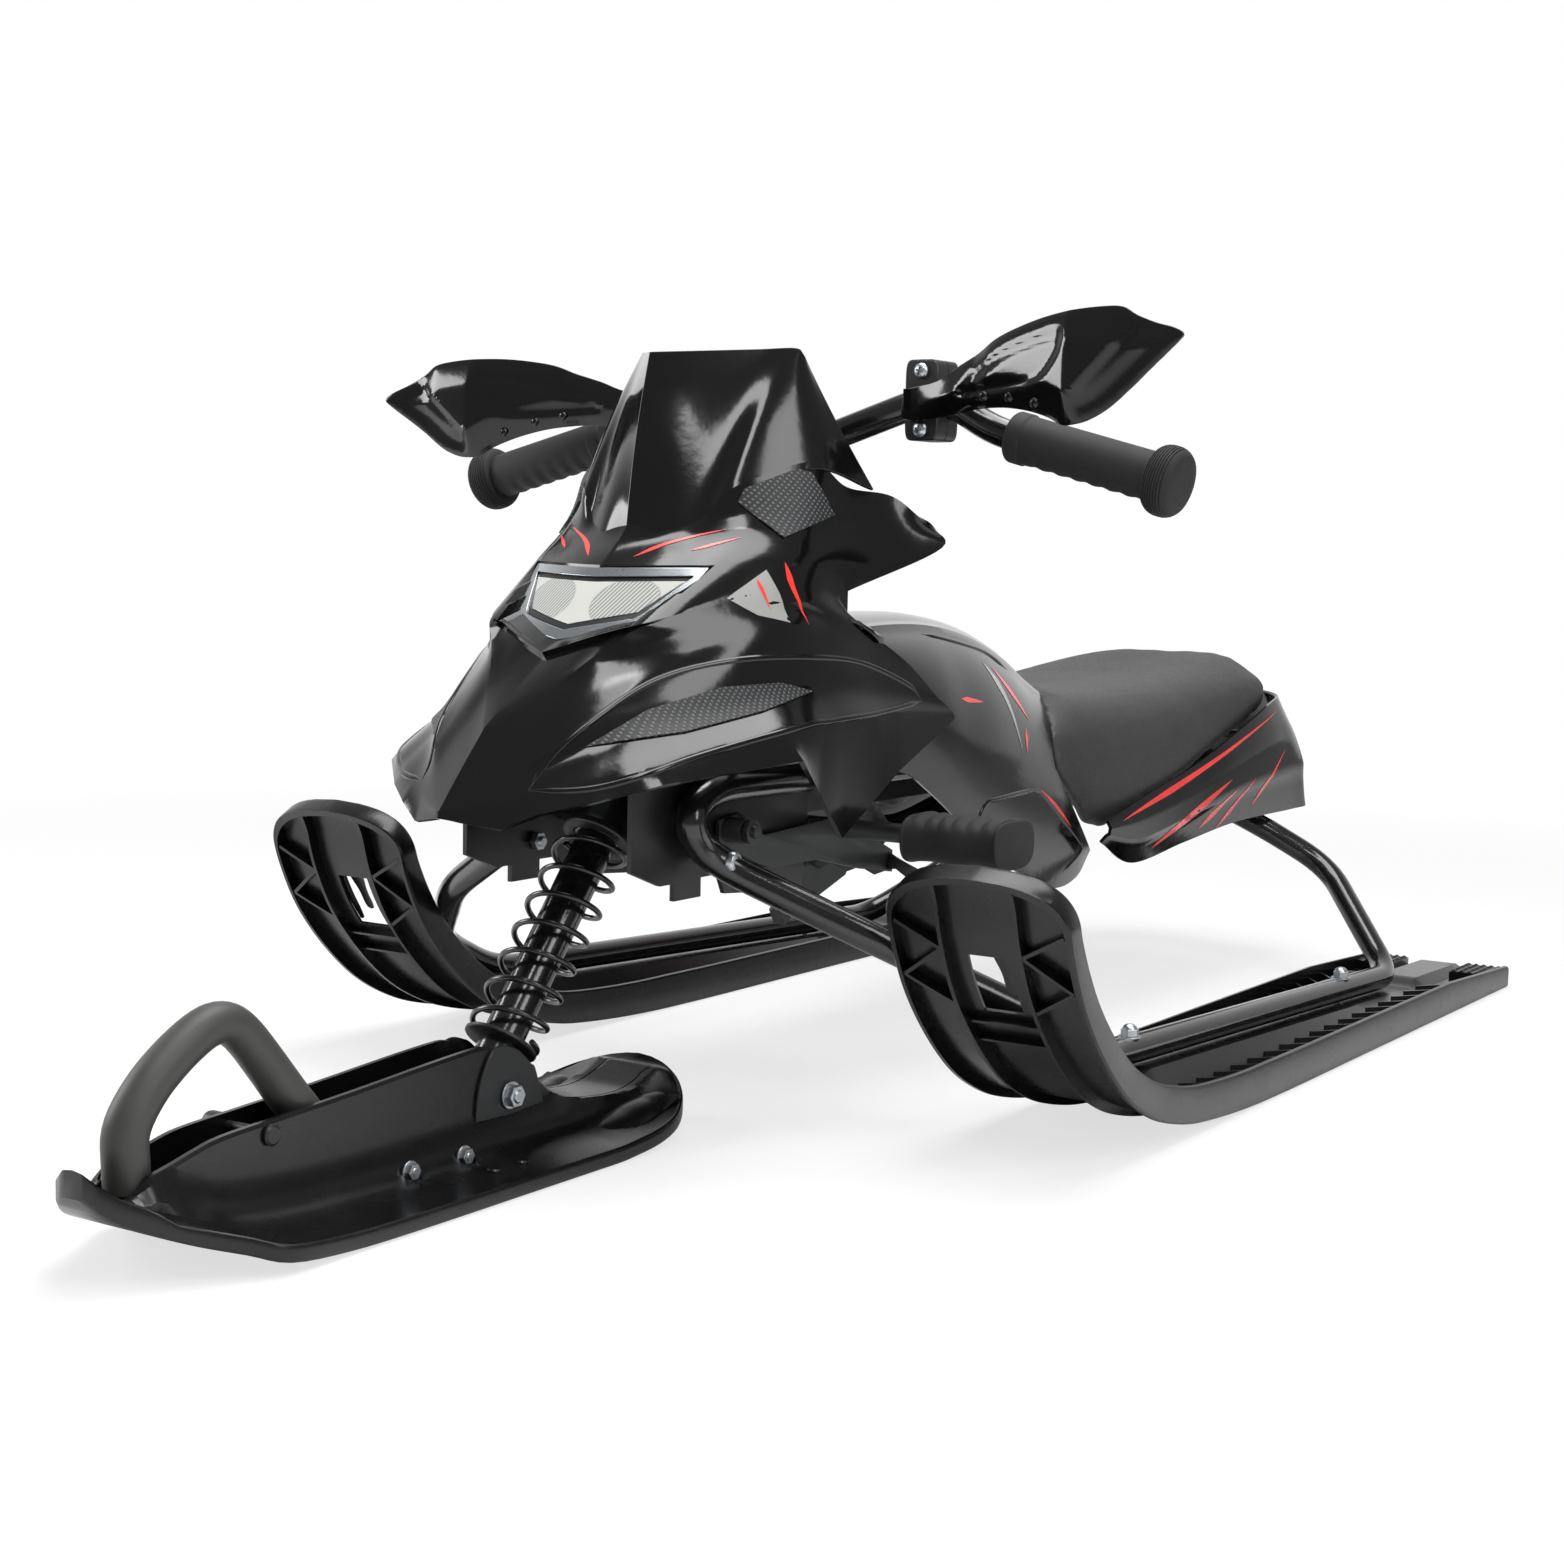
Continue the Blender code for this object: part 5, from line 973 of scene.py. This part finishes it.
# Tail panel. A gloss black moulded band round the back of the seat, with a crease along it
# that runs up at the rear corners.
TAIL_LOW = mm(
    (100, 240, 132), (101, 290, 113), (106, 370, 121), (110, 458, 129), (108.5, 575, 129), (104, 619, 129),
    (70, 636, 130), (0, 643, 131))
TAIL_HIGH = mm(
    (103.5, 243, 148.5), (105, 300, 161.5), (106.5, 380, 177.5), (107.5, 455, 197.5), (105.5, 528, 217.5),
    (94, 571, 223.5), (56, 595, 226.5), (0, 605, 227.5))
low, high = eased(TAIL_LOW, 10)[::-1], eased(TAIL_HIGH, 10)[::-1]
t = np.linspace(0, 1, 19)[:, None]
tail = low + (high - low) * t[..., None]
tail[..., 0] += np.interp(t, (0, 0.30, 0.38, 0.70, 1), mm(0, 3, 5.2, 4.6, 0)) * (low[:, 0] > 0.05)
tail[..., 1] += 0.008 * np.sin(pi * t) ** 2 * np.clip((tail[..., 1] - 0.55) / 0.05, 0, 1)
tail_panel = plate_of("tail_band", outwards(both_sides(tail), (0, 0.40, 0.15)), 0.0026)
fitted(softened(tail_panel, 0.0008, 30, 3), gloss_abs, "chassis", "gloss_panel", "tail_panel")
tail_tree = covering(tail_panel)
for side, label in SIDES:
    streaks(f"red_streaks_tail_{label}", red_film, tail_tree, side,
            (SIDE_AIM, 4.6, (110, 262, 147), (110, 390, 174), (110, 542, 212)),
            (SIDE_AIM, 7, (110, 315, 122), (110, 390, 148), (110, 440, 164)),
            (SIDE_AIM, 5.2, (110, 390, 130), (110, 450, 156)),
            (SIDE_AIM, 4, (110, 420, 127), (110, 485, 162)),
            (SIDE_AIM, 4, (110, 485, 140), (110, 550, 180)))


# Seat. A foam cushion under a stretched charcoal vinyl cover: crowned, drawn in at its foot,
# with a piped seam round the top panel and a second one low on the sides.
SEAT_ROWS = (
    (0, 0.241, 0.224, 0.152, 0.087), (0.08, 0.2365, 0.227, 0.15, 0.093), (0.2, 0.235, 0.228, 0.157, 0.099),
    (0.36, 0.2375, 0.229, 0.168, 0.103), (0.54, 0.24, 0.232, 0.182, 0.105),
    (0.72, 0.2465, 0.237, 0.199, 0.106), (0.86, 0.253, 0.241, 0.213, 0.105),
    (0.95, 0.2555, 0.241, 0.221, 0.102), (1, 0.252, 0.236, 0.226, 0.097))
SEAT_END, RAIL_TOP = 0.6, 0.19


def seat_grid(count, inset):
    """Rings round the cushion from its front to its back, inset from the full size."""
    share = np.linspace(0, 1, count)[:, None]
    at, *columns = np.array(SEAT_ROWS).T
    top, shoulder, seam, half = [np.interp(share, at, column) for column in columns]
    side = shoulder - seam
    under = np.maximum(np.minimum(seam + 0.018, shoulder - 0.040), RAIL_TOP + 0.0063)
    steps = ((0, top), (0.20, top - 0.0001), (0.42, top - 0.0007), (0.62, top - (top - shoulder) * 0.30),
             (0.78, shoulder + (top - shoulder) * 0.25), (0.88, shoulder - side * 0.06),
             (0.96, shoulder - side * 0.22), (1, shoulder - side * 0.50), (1, seam + 0.006),
             (0.995, seam - 0.011), (0.96, seam - 0.013), (0.85, seam - 0.008),
             (0.78, np.maximum(under, seam + 0.002)), (0.40, np.maximum(under, seam + 0.004)),
             (0, np.maximum(under, seam + 0.004)))
    x, z = np.hstack([half * k for k, _ in steps]), np.hstack([z for _, z in steps])
    x, z = np.hstack((x, -x[:, -2:0:-1])), np.hstack((z, z[:, -2:0:-1]))
    start, end = body_end(x, z) + 0.0032, SEAT_END - 4.6 * x * x - 0.004
    grid = np.stack((x, start + share * (end - start), z), -1)
    out = grid - grid.mean(1, keepdims=True)
    return grid - out / np.linalg.norm(out, axis=-1, keepdims=True).clip(1e-6) * inset


def stuffed(obj, voxel, pressure, cap, frames=20):
    """Blows the pad up as cloth, stops each point at the cap, and leaves the result in its mesh."""
    mesh = evaluated(modified(obj, "REMESH", mode="VOXEL", voxel_size=voxel))
    obj.modifiers.clear()
    obj.data = mesh
    mesh.shade_smooth()
    rest = np.array([v.co for v in mesh.vertices])
    cloth = obj.modifiers.new("cloth", "CLOTH").settings
    cloth.use_pressure = True
    cloth.uniform_pressure_force = pressure
    cloth.effector_weights.gravity = 0
    for number in range(1, frames + 1):
        bpy.context.scene.frame_set(number)
    blown = evaluated(obj)
    obj.modifiers.clear()
    obj.data = blown
    move = np.array([v.co for v in blown.vertices]) - rest
    size = np.linalg.norm(move, axis=1, keepdims=True).clip(1e-9)
    blown.vertices.foreach_set("co", (rest + move / size * np.minimum(size, cap)).ravel())
    bpy.context.scene.frame_set(1)
    blown.shade_smooth()


seat = skin("seat_cushion", seat_grid(25, 0.003), 180)
stuffed(seat, 0.005, 4.0, 0.0032)
modified(seat, "SMOOTH", iterations=3, factor=0.5)
modified(seat, "SUBSURF", levels=1, render_levels=1)
nodes, place = new_finish("leather_grained_vinyl_charcoal")
pebble = nodes.add("TexVoronoi", {"feature": "DISTANCE_TO_EDGE"}, Vector=place, Scale=520)
crease = nodes.ranged(pebble.outputs["Distance"], (0, 0.16))
soft = nodes.add("TexNoise", Vector=place, Scale=34, Detail=4)
vinyl = nodes.ended(Base_Color=nodes.mix(soft, "#2B2B2C", "#39393A"),
                    Roughness=nodes.ranged(crease, after=(0.68, 0.50)),
                    Normal=nodes.bump(crease, 0.35, 0.0003))
fitted(seat, vinyl, "chassis", "seat_cover", "seat_pad")


# Seat base and middle frame. A moulded board under the cushion; sleeve, bracket plates and
# rails of welded steel below the body shell, in satin black.
def refined(name, node, width):
    """The CAD solid with its loose triangles merged and its edges broken."""
    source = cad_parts[node]
    mesh = source.data.copy()
    mesh.transform(source.matrix_world)
    return softened(placed(name, mesh, 30), width, 34)


satin_steel = coated("painted_steel_satin_black", "#151516", 0.38, 0.07, 0.2, 0.001)
fitted(refined("seat_board", "seat_base", 0.0008), column_plastic, "chassis", "black_plastic", "seat_base")
fitted(refined("inner_frame", "middle_frame", 0.0005), satin_steel, "chassis", "frame_paint", "middle_frame")
LEG_BOLT = (0, -0.2010, 0.1625)
CAP = mm((85, 0), (85, 6.2), (86.6, 6.2), (88.8, 5.2), (89.5, 3.6), (88, 3), (88, 0))
THREAD = mm((50, 0), (50, 2.6), (50.6, 3), (85, 3), (85, 0))
for side, label in SIDES:
    parts = [skin("bolt", turned(profile, LEG_BOLT, (side, 0, 0), count), edges) for profile, count, edges in
             ((CAP, 32, 40), (THREAD, 32, 40), (mm((52.5, 5.6), (57, 5.6)), 6, 25))]
    bolt = softened(joined(f"leg_screw_{label}", parts), 0.0003, 40)
    fitted(bolt, zinc_steel, "chassis", "zinc_steel", f"leg_bolt_{label}")


# Foot brake. Bent sheet, rods and arms in dull dark grey steel, welded to one piece that
# swings on its hinge rod.
grey_sheet = coated("phosphated_steel_dark_grey", "#3E3F40", 0.46, 0.08, 0.25, 0.0012, metallic=0.55)
fitted(refined("brake_linkage", "foot_brake", 0.0004), grey_sheet, "brake", "grey_steel", "foot_brake")


# Foot pads. Black rubber sleeves on the ends of the pedal rod, each with oblique ribs
# across its upper side.
def squared(count, x_power, z_power):
    """Points round a circle that is drawn out towards its square."""
    points = circle(count)
    return np.sign(points) * np.abs(points) ** (x_power, z_power)


soft_rubber = coated("moulded_rubber_matt_black", "#1B1B1C", 0.74, 0.06, 0.4, 0.001)
u = np.linspace(-1, 1, 73)[:, None]
flare = np.where(np.abs(u) > 0.93, 1, 0.94 + 0.03 * np.cos(u * 6))
flare *= np.minimum(1, (1 - np.abs(u)) / 0.02 + 0.90)
cx, cz = squared(40, 0.55, 0.75).T
rib = np.where(np.abs(u) < 0.9, (0.5 + 0.5 * np.cos((u * 7 + cx * 1.2) * pi)) ** 0.6, 0)
hollow = 0.0016 * (1 - np.clip((cz - 0.1) * 2, 0, 1) * rib) * (cz > 0.1)
for side, label in SIDES:
    low, high = np.array(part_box(f"pedal_{label}")) + DATUM
    middle, reach = (low + high) / 2, (high - low) / 2
    y, z = middle[1] + cx * reach[1] * flare, middle[2] + cz * (reach[2] * flare - hollow)
    pad = skin(f"foot_pad_{label}", np.stack((middle[0] + side * u * reach[0] + 0 * y, y, z), -1), 50)
    fitted(softened(pad, 0.001, 50), soft_rubber, "brake", "grip_rubber", f"pedal_{label}")


# Handlebar. An 18 mm steel tube, bent up and out from a short stem on the steering tube,
# and powder coated with the frame.
BAR_PATH = mm(
    (0, -40, 398), (20, -40, 399), (92, -16.5, 428.5), (112, -12.5, 429), (138, -6, 411.5),
    (256, -7, 380.8))
bar_line = rounded(np.vstack((BAR_PATH[:0:-1] * (-1, 1, 1), BAR_PATH[1:])), 0.014, 8)
hub_yz, hub_middle = mm((-56, 382), (-26, 382), (-26, 409), (-56, 409)), mm(-41, 395.5)
hub = skin("hub", [np.insert(hub_middle + (hub_yz - hub_middle) * k, 0, x, axis=1)
                   for x, k in ((-0.019, 0.9), (-0.0175, 1), (0.0175, 1), (0.019, 0.9))], 30)
stem = on_column(((415.3, 0), (415.3, 16), (416.3, 17), (442, 17), (443, 16), (443, 0)))
bar = joined("bar", [skin("tube", carried(ring(TUBE_R, 36), bar_line)), skin("stem", stem), hub])
fitted(softened(bar, 0.0006, 40), powder_coat, "steering", "frame_paint", "handlebar")


# Grips. Soft black rubber: a smooth barrel with shallow finger hollows below, a collar at
# the inner end, and a thick end stop with fine grooves round it and a domed face.
def along_bar(x):
    """Point of the bar's straight end at the given x."""
    start, end = BAR_PATH[-2:]
    return start + (end - start) * (x - start[0]) / (end[0] - start[0])


GRIP_R, STOP, STOP_R = 0.0149, 0.0185, 0.0213
grip_from, grip_to = along_bar(0.153), along_bar(0.2645)
grip_length = np.linalg.norm(grip_to - grip_from)
t = np.concatenate((np.linspace(0, grip_length - STOP, 110),
                    np.linspace(grip_length - STOP + 0.0002, grip_length, 190)))
stop = (t - grip_length + STOP) / STOP
grip_r = np.where(t < 0.010, GRIP_R + 0.0009 - 0.001 * np.clip(1 - t / 0.0012, 0, 1), GRIP_R)
stop_r = STOP_R * np.clip(1 - np.abs((stop - 0.45) / 0.75) ** 2.6, 0, 1) ** 0.5
stop_r -= 0.0007 * np.clip(1.6 * np.cos(stop * 2 * pi * 11), 0, 1) * (stop > 0.04) * (stop < 0.78)
grip_r = np.where(stop > 0, np.maximum(stop_r, GRIP_R * (stop < 0.5)), grip_r)
grip_r = np.where(stop > 0.93, stop_r[stop <= 0.93][-1] * np.clip((1 - stop) / 0.07, 0.02, 1) ** 0.25, grip_r)
grip_profile = np.vstack(((0, 0.0093), np.column_stack((t, np.maximum(grip_r, 0.0002)))))
t = grip_profile[:, 0]
fingers = 0.055 * np.sin((t - 0.014) / (grip_length - 0.034) * 3.5 * 2 * pi) ** 2
fingers *= (t > 0.014) & (t < grip_length - 0.02)
for side, label in SIDES:
    turn = (side, 1, 1)
    barrel = turned(grip_profile, grip_from * turn, (grip_to - grip_from) * turn, 48)
    spine = barrel.mean(1, keepdims=True)
    outward = barrel - spine
    below = np.clip(-outward[..., 2] / np.linalg.norm(outward, axis=-1).clip(1e-6), 0, 1)
    grip = skin(f"handle_grip_{label}", spine + outward * (1 - fingers[:, None] * below)[..., None], 50)
    fitted(grip, soft_rubber, "steering", "grip_rubber", f"grip_{label}")


# Guard clamps. Two-part moulded blocks round the bar, each closed by two zinc plated
# cross-head screws.
CLAMP = mm(100, -15.5, 429)
layers = [(side * depth, k) for side in (-1, 1)
          for depth, k in ((0.0130, 0.955), (0.0122, 1), (0.0004, 1), (0.0002, 0.965))[::-side]]
profile = np.insert(squared(48, 0.28, 0.28) * (0.0115, 0.0245), 1, 0, axis=1)
for side, label in SIDES:
    block = skin(f"clamp_{label}", [CLAMP * (side, 1, 1) + profile * k + (0, d, 0) for d, k in layers], 25)
    carved(block, skin("bore", carried(ring(0.0094), bar_line)))
    fitted(softened(block, 0.0005, 30), column_plastic, "steering", "black_plastic", f"guard_clamp_{label}")


def cross_screw(name, head_at, head_r, length, shank_r):
    """Pan head screw with a cross recess; it points to the rear."""
    head = np.array(((0, 0), (0, 1), (-0.22, 0.97), (-0.45, 0.74), (-0.58, 0.42), (-0.62, 0))) * head_r
    screw = skin(name, turned(head, head_at, Y, 36), 30)
    first = unit(np.cross(Y, (0.26, 0.2, 0.94)))
    other = np.cross(Y, first)
    bars = []
    for a, b in ((first, other), (other, first)):
        rim = [a * i * 0.56 + b * j * 0.13 for i, j in ((1, 1), (-1, 1), (-1, -1), (1, -1))]
        layers = [head_at + np.array(rim) * head_r * k - Y * head_r * d for k, d in ((1, 0.8), (0.75, 0.12))]
        bars.append(skin("cross", layers, 20))
    carved(screw, *bars)
    return joined(name, [screw, skin("shank", turned(rod(0, length, shank_r), head_at, Y, 20))])


for side, label in SIDES:
    for dz, place in ((0.0175, "upper"), (-0.0175, "lower")):
        at = CLAMP * (side, 1, 1) + (0, -0.0133, dz)
        screw = cross_screw(f"cross_screw_{label}_{place}", at, 0.0048, 0.024, 0.0021)
        fitted(screw, zinc_steel, "steering", "zinc_steel", f"clamp_screw_{label}_{place}")


# Hand guards. Curved wedge-shaped shields of gloss black ABS in front of the grips, with a
# recessed field, a crease down the outer end and three small screws.
black_zinc = coated("black_zinc_plated_steel", "#3A3A3C", 0.28, 0.05, 0.1, 0.001, metallic=1)
GUARD_X = mm(60, 90, 146, 158, 190, 220, 260, 300)
GUARD_Y = mm(-29.5, -31.8, -44.5, -50, -60, -70, -70.5, -78)
GUARD_TILT = 0.07
GUARD = mm(
    (90, 436.5), (116, 438.5), (134, 446), (150, 452), (163, 458), (178, 462), (199, 465.5), (222, 467),
    (240, 467), (253, 465.5), (262, 460), (274, 454.5), (287, 450), (292.5, 446), (288.5, 441), (268, 426),
    (248.5, 411), (235.5, 404.5), (225, 402.2), (216, 402.5), (205, 408), (190, 413), (173, 416.5),
    (158, 417.8), (143, 418), (123, 416.5), (90, 418))
FIELD = mm(
    (133, 427.5), (140, 435), (158, 445.5), (176, 451), (196, 454.5), (212, 456), (216.5, 452), (215, 445),
    (206, 434), (196, 429), (180, 427.5), (150, 427))


def eased_loop(outline, steps):
    """Smooth closed curve through the points of an outline."""
    return eased(np.vstack((outline, outline[:1])), steps)[:-1]


guard_edge = eased_loop(GUARD, 4)
flat, guard_faces = filled(guard_edge, 0.0022)
flat_x, flat_z = flat.T
depth = np.clip(outline_depth(flat, guard_edge), 0, None)
in_field = np.clip(outline_depth(flat, eased_loop(FIELD, 3)) / 0.0046 + 0.5, 0, 1)
bulge = 0.007 * np.minimum(depth / 0.018, 1) ** 0.8 * np.clip((flat_x - 0.10) / 0.04, 0, 1)
outer_end = np.clip((flat_x - np.interp(flat_z, (0.4195, 0.458), (0.222, 0.264))) / 0.006, 0, 1)
relief_y = np.interp(flat_x, GUARD_X, GUARD_Y) - bulge + 0.0022 * in_field
relief_y += 0.003 * outer_end * np.clip(depth / 0.01, 0, 1)
for side, label in SIDES:
    points = np.column_stack((side * flat_x, relief_y, flat_z + side * GUARD_TILT * (flat_x - CLAMP[0])))
    shield = sheet("shield", (points - DATUM).tolist(), guard_faces, Y, 0.0026, 30)
    tab_rim = mm((-9, 0, -6), (9, 0, -6), (9, 0, 6), (-9, 0, 6))
    tab_y = ((np.interp(CLAMP[0], GUARD_X, GUARD_Y) + 0.001, 1.15), (CLAMP[1] - 0.0133, 1))
    tab = skin("tab", [(tab_rim * k + (CLAMP[0], y, CLAMP[2])) * (side, 1, 1) for y, k in tab_y], 30)
    guard = softened(joined(f"hand_shield_{label}", [shield, tab]), 0.0006, 35)
    fitted(guard, gloss_abs, "steering", "gloss_panel", f"hand_guard_{label}")
    screws = []
    for x, z in ((0.157, 0.4250), (0.1765, 0.4225), (0.197, 0.4170)):
        y = relief_y[np.argmin(np.hypot(flat_x - x, flat_z - z))] - 0.0004
        at = np.array((side * x, y, z + side * GUARD_TILT * (x - CLAMP[0])))
        screws.append(cross_screw("screw", at, 0.003, 0.002, 0.0016))
    fitted(joined(f"guard_screws_{label}", screws), black_zinc, "steering")


# Floor. A matt pale studio sheet, slightly uneven in tone. It fades to white away from the
# sled in the camera's eye, and still takes the sled's shadow.
nodes, place = new_finish("matt_studio_paper")
fibre = nodes.add("TexNoise", Vector=place, Scale=90, Detail=3)
matt = nodes.add("BsdfDiffuse", Color=nodes.mix(fibre, "#F1F1F1", "#FBFBFB"))
seen = nodes.add("LightPath").outputs
away = nodes.maths("LENGTH", place, kind="VectorMath").outputs["Value"]
direct = nodes.maths("MAXIMUM", seen["Is Camera Ray"], seen["Is Transmission Ray"])
share = nodes.maths("MULTIPLY", direct, nodes.ranged(away, (0.7, 1.8), (0.70, 1)))
white = nodes.add("Emission", Color="#FFFFFF", Strength=1)
floor_finish = nodes.ended("MixShader", i0=share, i1=matt, i2=white)
u, v = patch(-30, 30, 65, 65)
floor = skin("studio_floor", np.stack((v, u, -0.0004 + 0 * u), -1), 180, around=False)
floor.data.materials.append(floor_finish)


# Studio light. A pale surround, a wide softbox overhead, a narrow strip in front, a key on
# the camera's left and a tall strip on its right.
world = bpy.data.worlds.new("pale_surround")
bpy.context.scene.world = world
nodes = Nodes(world)
soft, white = [nodes.add("Background", Color="#FFFFFF", Strength=strength) for strength in (0.26, 1)]
ray = nodes.add("LightPath").outputs
way = nodes.add("TexCoord").outputs["Generated"]
towards = nodes.maths("DOT_PRODUCT", way, (-0.55, 0.83, 0), kind="VectorMath")
backdrop = nodes.ranged(towards.outputs["Value"], (0.40, 0.90))
mirrored = nodes.maths("MAXIMUM", ray["Is Glossy Ray"], ray["Is Transmission Ray"])
shown = nodes.maths("MAXIMUM", ray["Is Camera Ray"], nodes.maths("MULTIPLY", mirrored, backdrop))
nodes.add("OutputWorld", Surface=nodes.add("MixShader", i0=shown, i1=soft, i2=white))
LAMPS = (("overhead", (0.05, 0.15, 1.7), (0, 0, 0.2), 1.1, 1.2, 27),
         ("front_strip", (0.55, -0.75, 1.5), (0.05, -0.30, 0.25), 0.25, 0.9, 6),
         ("key_left", (-1.7, -1, 0.9), (0, -0.1, 0.2), 0.8, 1, 22),
         ("strip_right", (1.6, -0.4, 1.2), (0, 0, 0.2), 0.5, 1.4, 12))
for name, at, aim, wide, tall, watts in LAMPS:
    lamp = bpy.data.lights.new(name, "AREA")
    lamp.shape = "RECTANGLE"
    lamp.size, lamp.size_y, lamp.energy = wide, tall, watts
    softbox = stand(name, lamp)
    softbox.location = at
    softbox.rotation_euler = (Vector(aim) - Vector(at)).to_track_quat("-Z", "Y").to_euler()


# Camera. The photograph's own viewpoint, solved from the sled's symmetric points.
AZIMUTH, PITCH, ROLL = radians(33.418), radians(5.806), radians(1.07)
EYE = Vector((0.8507, -1.3115 - DATUM[1], 0.3454))
FOCAL_PIXELS, FRAME_PIXELS, SENSOR = 2419.6, 1564, 36
ahead = Vector((-sin(AZIMUTH) * cos(PITCH), cos(AZIMUTH) * cos(PITCH), -sin(PITCH)))
right = Vector((cos(AZIMUTH), sin(AZIMUTH), 0))
up = right.cross(ahead)
right, up = right * cos(ROLL) + up * sin(ROLL), up * cos(ROLL) - right * sin(ROLL)
camera = bpy.data.cameras.new("photo_view")
camera.sensor_width = SENSOR
camera.lens = FOCAL_PIXELS / FRAME_PIXELS * SENSOR
camera.clip_start = 0.05
photo_view = stand("photo_view", camera)
photo_view.matrix_world = Matrix((right, up, -ahead)).transposed().to_4x4()
photo_view.location = EYE
bpy.context.scene.camera = photo_view
bpy.context.scene.view_settings.view_transform = "Standard"
